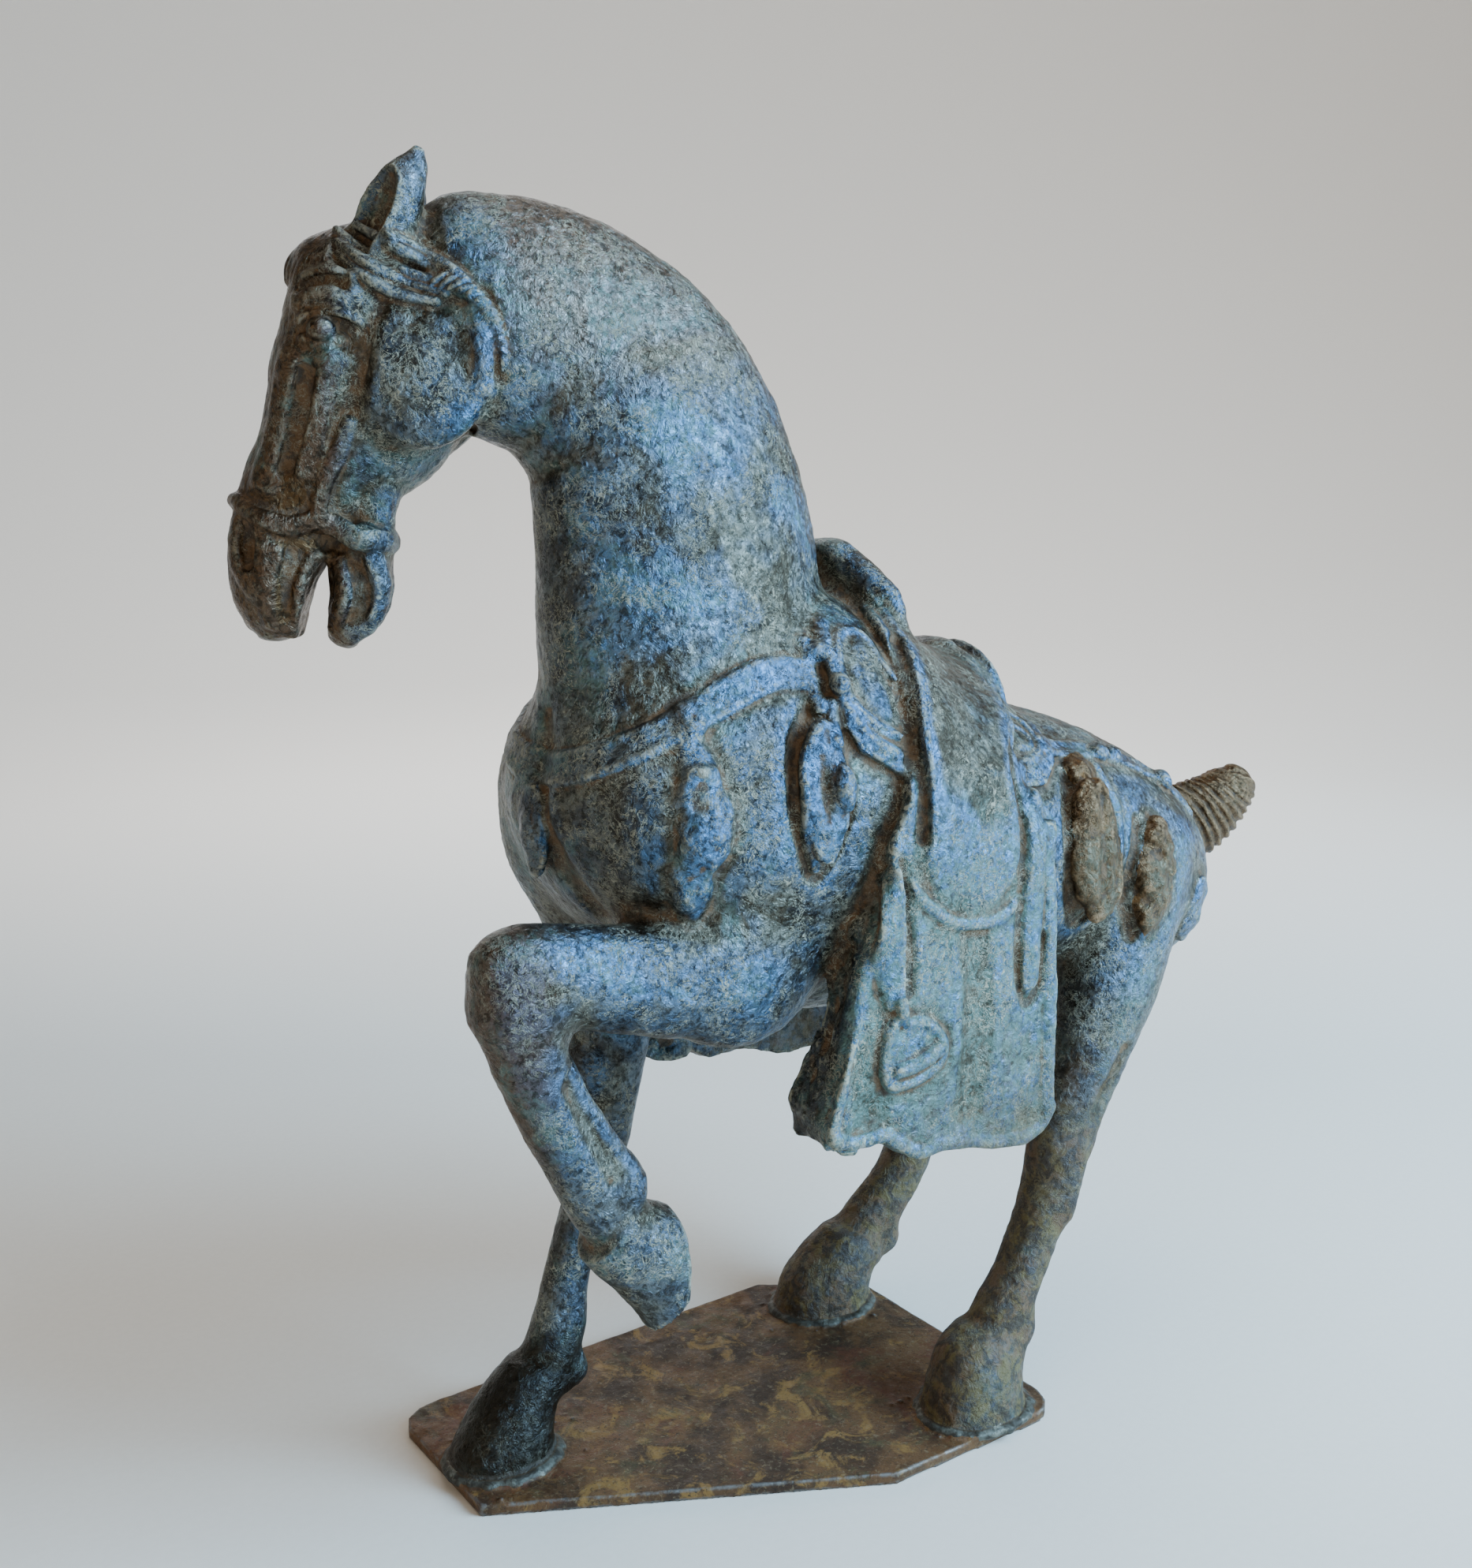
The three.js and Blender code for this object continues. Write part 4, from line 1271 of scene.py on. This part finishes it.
def plate_and_welds(clay):
    """The plate, a ring of weld beads round each standing hoof, and spatter near it."""
    plate = prism(plate_outline(), vec(0, 0, 0), X_AXIS, Y_AXIS, Z_AXIS, 0, PLATE_TOP)
    clay.cast("base_plate", plate, 0)
    draw = np.random.default_rng(3)
    for name, rows in STANDING_HOOVES.items():
        sole = rows[-1]
        beads = 44
        for i in range(beads):
            turn = 2 * math.pi * i / beads
            spread = 1 + 0.025 * draw.normal()
            x = sole[0] + (sole[4] + 0.2) * math.cos(turn) * spread
            y = sole[1] + (sole[3] + 0.2) * math.sin(turn) * spread
            size = draw.uniform(1.6, 2.4)
            clay.cast(f"{name}_weld", ball((x, y, 4.3), (size, size, size * 0.8)), 1.8)
        for _ in range(9):
            turn, out = draw.uniform(0, 2 * math.pi), draw.uniform(23, 33)
            x, y = sole[0] + out * math.cos(turn), sole[1] + out * 0.85 * math.sin(turn)
            if clay.sample(vec(x, y, 2.0)) < -1:
                clay.press(ball((x, y, 4.1), draw.uniform(0.6, 1.2)), 0.6)


# --- Materials --------------------------------------------------------------------------------------


class Shader:
    """A small helper to build a node material."""

    def __init__(self, name):
        self.material = bpy.data.materials.new(name)
        self.material.use_nodes = True
        self.tree = self.material.node_tree
        self.tree.nodes.clear()
        coordinates = self.add("ShaderNodeTexCoord")
        self.place = coordinates.outputs["Object"]
        # The normal's sideways part steers the painted blue reflection.
        facing = self.add("ShaderNodeSeparateXYZ", Vector=coordinates.outputs["Normal"])
        self.sideways = facing.outputs["Y"]

    def add(self, kind, **inputs):
        node = self.tree.nodes.new(kind)
        for name, value in inputs.items():
            self.put(node, name, value)
        return node

    def put(self, node, name, value):
        socket = node.inputs[name.replace("_", " ")] if isinstance(name, str) else node.inputs[name]
        if isinstance(value, bpy.types.NodeSocket):
            self.tree.links.new(value, socket)
        else:
            socket.default_value = value

    def noise(self, size_mm, detail=3.0, roughness=0.55, distortion=0.0):
        """Noise with features of the given size, from 0 to 1."""
        node = self.add(
            "ShaderNodeTexNoise",
            Vector=self.place,
            Scale=1000.0 / size_mm,
            Detail=detail,
            Roughness=roughness,
            Distortion=distortion,
        )
        return node.outputs["Fac"]

    def ramp(self, value, low, high, to_low=0.0, to_high=1.0):
        """value, moved from low..high to to_low..to_high with soft ends."""
        limits = {"From_Min": low, "From_Max": high, "To_Min": to_low, "To_Max": to_high}
        node = self.add("ShaderNodeMapRange", Value=value, **limits)
        node.interpolation_type = "SMOOTHSTEP"
        return node.outputs["Result"]

    def math(self, operation, a, b=0.0):
        node = self.tree.nodes.new("ShaderNodeMath")
        node.operation = operation
        self.put(node, 0, a)
        self.put(node, 1, b)
        return node.outputs["Value"]

    def times(self, a, b):
        return self.math("MULTIPLY", a, b)

    def plus(self, a, b):
        return self.math("ADD", a, b)

    def most(self, a, b):
        return self.math("MAXIMUM", a, b)

    def size_of(self, a):
        return self.math("ABSOLUTE", a)

    def mix(self, amount, a, b, blend="MIX"):
        node = self.tree.nodes.new("ShaderNodeMix")
        node.data_type = "RGBA"
        node.blend_type = blend
        node.clamp_factor = True
        for index, value in ((0, amount), (6, a), (7, b)):
            if isinstance(value, tuple):
                value = (*value, 1.0)
            self.put(node, index, value)
        return node.outputs[2]

    def attribute(self, name):
        node = self.tree.nodes.new("ShaderNodeAttribute")
        node.attribute_name = name
        return node.outputs["Fac"]

    def bump(self, height, distance_mm, strength=1.0, under=None):
        node = self.add("ShaderNodeBump", Height=height, Distance=distance_mm * MM, Strength=strength)
        if under is not None:
            self.put(node, "Normal", under)
        return node.outputs["Normal"]

    def metal(self, colour, metallic, roughness, normal):
        looks = {"Base_Color": colour, "Metallic": metallic, "Roughness": roughness, "Normal": normal}
        node = self.add("ShaderNodeBsdfPrincipled", **looks)
        output = self.add("ShaderNodeOutputMaterial")
        self.tree.links.new(node.outputs["BSDF"], output.inputs["Surface"])
        return self.material


def tinted(colour, amount):
    """The colour, darkened."""
    return tuple(amount * part for part in colour)


class Places:
    """Where on the statue the colour differs, as masks from 0 to 1: the mudguards, the body above the
    knees, what faces sideways, all but the head, the crest of the neck, the face and the raised knee, the
    hind legs and the standing fore hoof. The first four set how much painted blue sheen, a painted
    reflection of the side light, goes on; the crest carries painted warm light from above and the raised
    knee painted shade."""

    def __init__(self, s):
        parts = s.add("ShaderNodeSeparateXYZ", Vector=s.place)
        along, across, height = (parts.outputs[axis] for axis in "XYZ")
        forward = s.plus(s.times(along, FORWARD[0]), s.times(across, FORWARD[1]))
        self.guard = s.times(s.ramp(s.size_of(across), 0.0575, 0.063), s.ramp(height, 0.250, 0.205))
        # low, flank and off_head only scale the painted blue sheen: less below the knees and on the head,
        # most where the surface faces sideways.
        self.low = s.ramp(height, 0.110, 0.190, 0.30, 0.90)
        self.flank = s.ramp(s.size_of(s.sideways), 0.40, 0.80, 0.22, 1.0)
        self.off_head = s.ramp(forward, 0.080, 0.096, 1.0, 0.40)
        # Painted light: the crest mask tones the top of the neck warm grey-brown, as the light from above
        # shows it.
        self.crest = s.times(s.ramp(height, 0.350, 0.390), s.ramp(along, -0.100, -0.080))
        # Painted shade: the raised knee is browned where it stands in shade, through the face mask.
        knee = s.times(s.ramp(along, -0.088, -0.104), s.ramp(height, 0.235, 0.210))
        self.face = s.most(s.ramp(forward, 0.113, 0.127), s.times(knee, 0.8))
        behind = s.times(s.ramp(height, 0.165, 0.080), s.ramp(along, 0.0, 0.06))
        self.behind = s.times(behind, s.ramp(s.noise(11, 5, 0.7, 0.6), 0.38, 0.56, 0.75, 1.0))
        # Where the standing fore hoof is made darker.
        self.darkened_fore_hoof = s.times(s.ramp(height, 0.055, 0.035), s.ramp(along, -0.042, -0.056))


def bare_skin(s, at, skin, dark, rubbed_and_painted_sheen, recess):
    """Brown-black to olive grey, with a blue sheen where it swells gently, partly rubbed high spots and
    partly a painted reflection of the blue side light; the crest of the neck gets painted warm light, the
    face is browner and the raised knee gets painted shade.
    """
    broad = s.attribute("bulge_broad")
    colour = s.mix(s.ramp(s.noise(15, 5, 0.65, 0.8), 0.42, 0.58), dark, skin)
    # Painted reflection: the blue sheen goes on gentle swellings, most on the body's sideways-facing
    # surfaces, where the blue side light would reflect.
    rise = s.plus(broad, s.times(s.noise(26, 4, 0.6, 0.5), 0.30))
    swelling = s.times(s.ramp(rise, 0.11, 0.24), s.ramp(rise, 0.75, 0.45, 0.35, 1.0))
    swelling = s.times(s.times(swelling, at.flank), at.off_head)
    colour = s.mix(s.times(swelling, s.most(at.low, at.guard)), colour, rubbed_and_painted_sheen)
    # Painted light on the top of the neck: warm grey-brown over the blue sheen.
    colour = s.mix(s.times(at.crest, 0.75), colour, (0.200, 0.155, 0.110))
    # The face is browner in its own colour; on the raised knee this mix is painted shade.
    colour = s.mix(s.times(at.face, 0.85), colour, tinted(recess, 0.85))
    pits = s.ramp(s.noise(2.2, 4, 0.7, 0.6), 0.45, 0.60, 0.0, 0.75)
    return s.mix(pits, colour, tinted(dark, 0.25))


def verdigris(s, at):
    """A mask: on the mudguards, and in patches elsewhere."""
    patch = s.ramp(s.noise(26, 5, 0.62, 0.5), 0.52, 0.64, 0.0, 0.45)
    bloom = s.most(s.times(at.guard, 0.75), patch)
    return s.times(bloom, s.ramp(s.noise(3.2, 5, 0.7, 0.8), 0.40, 0.58, 0.15, 1.0))


def packed_earth(s, at):
    """A mask: in creases and hollows, and on the hind legs near the ground."""
    fine, broad = s.attribute("bulge_fine"), s.attribute("bulge_broad")
    deep = s.ramp(s.plus(fine, s.times(s.noise(3.0, 4, 0.7), 0.12)), 0.040, -0.040)
    wide = s.ramp(s.plus(broad, s.times(s.noise(7, 4, 0.7), 0.24)), 0.065, -0.08)
    earth = s.most(s.plus(deep, s.times(wide, 0.75)), at.behind)
    return s.math("MINIMUM", earth, 1.0)


def earth_colour(s, at, recess):
    """Brown, mottled darker, with olive patches on the hind legs."""
    olive = s.mix(s.ramp(s.noise(14, 4, 0.65, 0.6), 0.42, 0.58), recess, (0.125, 0.088, 0.022))
    shade = s.ramp(s.noise(5, 5, 0.7, 0.6), 0.42, 0.58)
    return s.mix(shade, s.mix(at.behind, recess, olive), tinted(recess, 0.25))


def pale_crust(s, at):
    """A mask: broken worm-like lines and flecks, thick in patches and along raised rims."""
    fine = s.attribute("bulge_fine")
    net = s.size_of(s.math("SUBTRACT", s.noise(6.0, 4, 0.72, 2.6), 0.5))
    lines = s.ramp(net, 0.026, 0.008)
    flecks = s.ramp(s.noise(2.4, 4, 0.72, 1.2), 0.57, 0.63)
    patches = s.ramp(s.noise(19, 5, 0.68, 0.7), 0.46, 0.58, 0.10, 1.0)
    rims = s.times(s.ramp(fine, 0.05, 0.16), s.ramp(s.noise(3.4, 5, 0.75, 1.0), 0.45, 0.58))
    crusted = s.most(s.times(s.most(lines, flecks), patches), s.times(rims, 0.9))
    crusted = s.times(crusted, s.plus(0.80, s.times(at.guard, 0.20)))
    clean = s.most(s.times(at.behind, 0.55), s.times(at.darkened_fore_hoof, 0.85))
    return s.times(crusted, s.math("SUBTRACT", 1.0, s.most(clean, s.times(at.face, 0.5))))


def patina(name, skin, dark, rubbed_and_painted_sheen, crust, recess, green):
    """Old cast bronze: a dark glossy skin with a blue sheen, partly rubbed and partly painted reflection,
    under verdigris, earth, a darker standing fore hoof and a pale crust.
    """
    s = Shader(name)
    at = Places(s)
    bloom, earth, crusted = verdigris(s, at), packed_earth(s, at), pale_crust(s, at)
    colour = bare_skin(s, at, skin, dark, rubbed_and_painted_sheen, recess)
    colour = s.mix(bloom, colour, green)
    colour = s.mix(s.times(earth, 0.9), colour, earth_colour(s, at, recess))
    # The standing fore hoof is darkened.
    colour = s.mix(s.times(at.darkened_fore_hoof, 0.85), colour, tinted(dark, 0.35))
    colour = s.mix(crusted, colour, s.mix(at.behind, crust, (0.230, 0.190, 0.090)))
    dull = s.most(s.most(crusted, s.times(earth, 0.9)), s.times(bloom, 0.6))
    metallic = s.ramp(dull, 0.0, 1.0, 0.95, 0.15)
    worn = s.ramp(s.noise(4, 3, 0.6), 0.3, 0.7, -0.05, 0.09)
    rough = s.plus(s.ramp(dull, 0.0, 1.0, 0.31, 0.64), worn)
    normal = s.bump(s.noise(4.2, 4, 0.66, 1.6), 1.3, 0.85)
    normal = s.bump(s.noise(1.3, 3, 0.6, 0.6), 0.30, 0.7, normal)
    normal = s.bump(crusted, 0.22, 0.8, normal)
    return s.metal(colour, metallic, rough, normal)


def steel_plate():
    """Mill plate gone brown: umber scale with ochre, olive and red stains, and a bare grey edge."""
    s = Shader("plate_steel")
    fine = s.attribute("bulge_fine")
    scale = s.ramp(s.noise(24, 5, 0.62, 0.5), 0.40, 0.60)
    colour = s.mix(scale, (0.040, 0.018, 0.007), (0.125, 0.058, 0.020))
    layers = (
        (14, 0.52, 0.64, 0.90, (0.250, 0.135, 0.036)),
        (19, 0.54, 0.68, 0.70, (0.062, 0.056, 0.022)),
        (33, 0.54, 0.68, 0.80, (0.115, 0.034, 0.014)),
        (1.9, 0.54, 0.66, 0.55, (0.210, 0.160, 0.090)),
        (1.2, 0.53, 0.68, 0.85, (0.013, 0.009, 0.006)),
    )
    for size, low, high, amount, stain in layers:
        colour = s.mix(s.ramp(s.noise(size, 5, 0.7, 0.7), low, high, 0, amount), colour, stain)
    edge = s.times(s.ramp(fine, 0.10, 0.24), s.ramp(s.noise(5, 4, 0.7), 0.38, 0.6))
    colour = s.mix(s.times(edge, 0.75), colour, (0.22, 0.21, 0.20))
    rough = s.ramp(s.noise(7, 4, 0.6), 0.3, 0.7, 0.46, 0.72)
    normal = s.bump(s.noise(1.4, 5, 0.7, 0.4), 0.3, 0.8)
    normal = s.bump(s.noise(6, 4, 0.6, 0.5), 0.6, 0.6, normal)
    return s.metal(colour, s.ramp(edge, 0, 1, 0.3, 0.85), rough, normal)


def weld_metal():
    """Weld bead: grey-blue ripples, scorched brown between them, with pale scale in places."""
    s = Shader("weld_metal")
    fine = s.attribute("bulge_fine")
    ripples = s.ramp(s.noise(6, 4, 0.65, 0.5), 0.42, 0.60)
    colour = s.mix(ripples, (0.035, 0.030, 0.022), (0.095, 0.095, 0.078))
    colour = s.mix(s.ramp(fine, 0.05, -0.04), colour, (0.055, 0.038, 0.022))
    colour = s.mix(s.ramp(s.noise(7, 5, 0.7), 0.54, 0.66, 0, 0.6), colour, (0.26, 0.26, 0.21))
    normal = s.bump(s.noise(1.2, 4, 0.7), 0.35, 0.8)
    return s.metal(colour, 0.5, s.ramp(s.noise(3, 3, 0.6), 0.3, 0.7, 0.40, 0.66), normal)


# Its blue is a painted reflection of the side light, mixed in as sheen.
BRONZE = patina(
    "bronze_with_painted_blue_sheen",
    skin=(0.135, 0.135, 0.112),
    dark=(0.056, 0.047, 0.033),
    rubbed_and_painted_sheen=(0.074, 0.173, 0.320),
    crust=(0.370, 0.355, 0.265),
    recess=(0.125, 0.066, 0.026),
    green=(0.110, 0.200, 0.180),
)
BROWN_BRONZE = patina(
    "brown_bronze",
    skin=(0.130, 0.068, 0.028),
    dark=(0.046, 0.025, 0.011),
    rubbed_and_painted_sheen=(0.130, 0.080, 0.044),
    crust=(0.260, 0.155, 0.070),
    recess=(0.120, 0.064, 0.024),
    green=(0.095, 0.098, 0.066),
)
MATERIALS = {
    "bronze": BRONZE,
    "brown_bronze": BROWN_BRONZE,
    "base_plate": steel_plate(),
    "weld": weld_metal(),
}


def slot_of(name):
    if name == "base_plate":
        return "base_plate"
    if name.endswith("_weld"):
        return "weld"
    if name == "tail" or name.endswith(("croup_pendant", "thigh_pendant")):
        return "brown_bronze"
    return "bronze"


HEAD_PIECES = {"head", "lower_jaw", "noseband", "forelock"} | {
    f"{side}_{part}" for side, _ in SIDES for part in ("ear", "cheek_strap", "bit_ring", "side_lock")
}


def make_piece(clay, name):
    points, quads = cut_piece(clay, name)
    grain = plate_grain if name == "base_plate" else casting_grain
    points, facing, fine, broad = finish_surface(clay, points, grain)
    if name == "base_plate":
        points[:, 2] = np.maximum(points[:, 2], 0.0)
    quads = outward(points, quads)
    obj = mesh_piece(f"cast_{name}", points, quads, facing, bulge_fine=fine, bulge_broad=broad)
    slot = slot_of(name)
    obj.data.materials.append(MATERIALS[slot])
    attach(obj, "root")
    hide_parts(name)


def build_head():
    clay = Clay((-168, -24, 276), (-42, 82, 441), HEAD_CELL)
    main_castings(clay)
    head_features(clay)
    for name in clay.names:
        if name in HEAD_PIECES:
            make_piece(clay, name)


def build_body():
    clay = Clay((-122, -80, -3), (276, 80, 437), BODY_CELL)
    main_castings(clay)
    limbs(clay)
    tail(clay)
    leg_details(clay)
    head_features(clay)
    saddlery(clay)
    plate_and_welds(clay)
    for name in clay.names:
        if name not in HEAD_PIECES:
            make_piece(clay, name)


build_head()
build_body()


# --- Floor, light and camera --------------------------------------------------------------------------


def pale_surface():
    s = Shader("pale_paper")
    tone = s.mix(s.ramp(s.noise(3, 2, 0.5), 0.35, 0.65), (0.84, 0.77, 0.69), (0.855, 0.785, 0.705))
    return s.metal(tone, 0.0, 0.9, s.bump(s.noise(1.5, 2, 0.5), 0.03, 0.2))


def sweep_backdrop():
    """A floor that curves up into a wall on every side, far from the statue."""
    flat, rise, steps = 1.6, 2.6, 24
    profile = [(0.4, 0.0), (1.0, 0.0), (flat, 0.0)]
    for i in range(1, steps + 1):
        turn = 0.5 * math.pi * i / steps
        profile.append((flat + rise * math.sin(turn), rise * (1 - math.cos(turn))))
    around = 96
    points = [(0.0, 0.0, -0.0002)]
    for radius, height in profile:
        for i in range(around):
            turn = 2 * math.pi * i / around
            points.append((radius * math.cos(turn), radius * math.sin(turn), height - 0.0002))
    faces = [(0, 1 + i, 1 + (i + 1) % around) for i in range(around)]
    for ring in range(len(profile) - 1):
        low, high = 1 + ring * around, 1 + (ring + 1) * around
        for i in range(around):
            beside = (i + 1) % around
            faces.append((low + i, high + i, high + beside, low + beside))
    mesh = bpy.data.meshes.new("studio_sweep")
    mesh.from_pydata(points, [], faces)
    mesh.shade_smooth()
    mesh.materials.append(pale_surface())
    show("studio_sweep", mesh)


def aim(obj, place, target):
    obj.location = place
    obj.rotation_euler = (Vector(target) - Vector(place)).to_track_quat("-Z", "Y").to_euler()


def soft_light(name, place, target, size, power, colour):
    light = bpy.data.lights.new(name, "AREA")
    light.shape = "RECTANGLE"
    light.size, light.size_y = size
    light.energy = power
    light.color = colour
    aim(show(name, light), place, target)


STATUE_CENTRE = (0.06, 0.0, 0.22)
FAR_WALL = (2.3, 3.1, 0.7)
LIGHTS = (  # name, place, target, size, power and colour
    ("window_right", (0.90, -1.10, 0.85), STATUE_CENTRE, (1.0, 1.3), 92, (0.42, 0.71, 1.0)),
    ("overhead", (0.2, 0.0, 1.7), STATUE_CENTRE, (1.2, 1.2), 9, (1.0, 0.96, 0.90)),
    ("fill_left", (-1.5, -0.6, 0.7), STATUE_CENTRE, (1.0, 1.0), 5, (1.0, 0.82, 0.56)),
    ("rim_back", (0.6, 1.5, 1.0), STATUE_CENTRE, (1.0, 1.0), 5, (0.90, 0.94, 1.0)),
    ("backdrop", (0.5, 0.7, 1.6), FAR_WALL, (1.0, 1.0), 60, (0.93, 0.96, 1.0)),
)
for light in LIGHTS:
    soft_light(*light)

world = bpy.data.worlds.new("studio")
world.use_nodes = True
background = world.node_tree.nodes["Background"]
background.inputs["Color"].default_value = (1.0, 0.91, 0.76, 1.0)
background.inputs["Strength"].default_value = 0.12
bpy.context.scene.world = world

sweep_backdrop()

SENSOR = 36  # mm, along the picture's longer side
FOCAL_LENGTH = SENSOR * 2000 / 1988
CAMERA_PLACE = Vector((-0.312, -0.42735, 0.330))
CAMERA_AIM = Vector((0.5816, 0.7947, -0.1736))
camera_data = bpy.data.cameras.new("camera")
camera_data.sensor_width = SENSOR
camera_data.lens = FOCAL_LENGTH
camera_data.clip_start = 0.02
camera_data.clip_end = 50
camera = show("camera", camera_data)
aim(camera, CAMERA_PLACE, CAMERA_PLACE + CAMERA_AIM)
bpy.context.scene.camera = camera
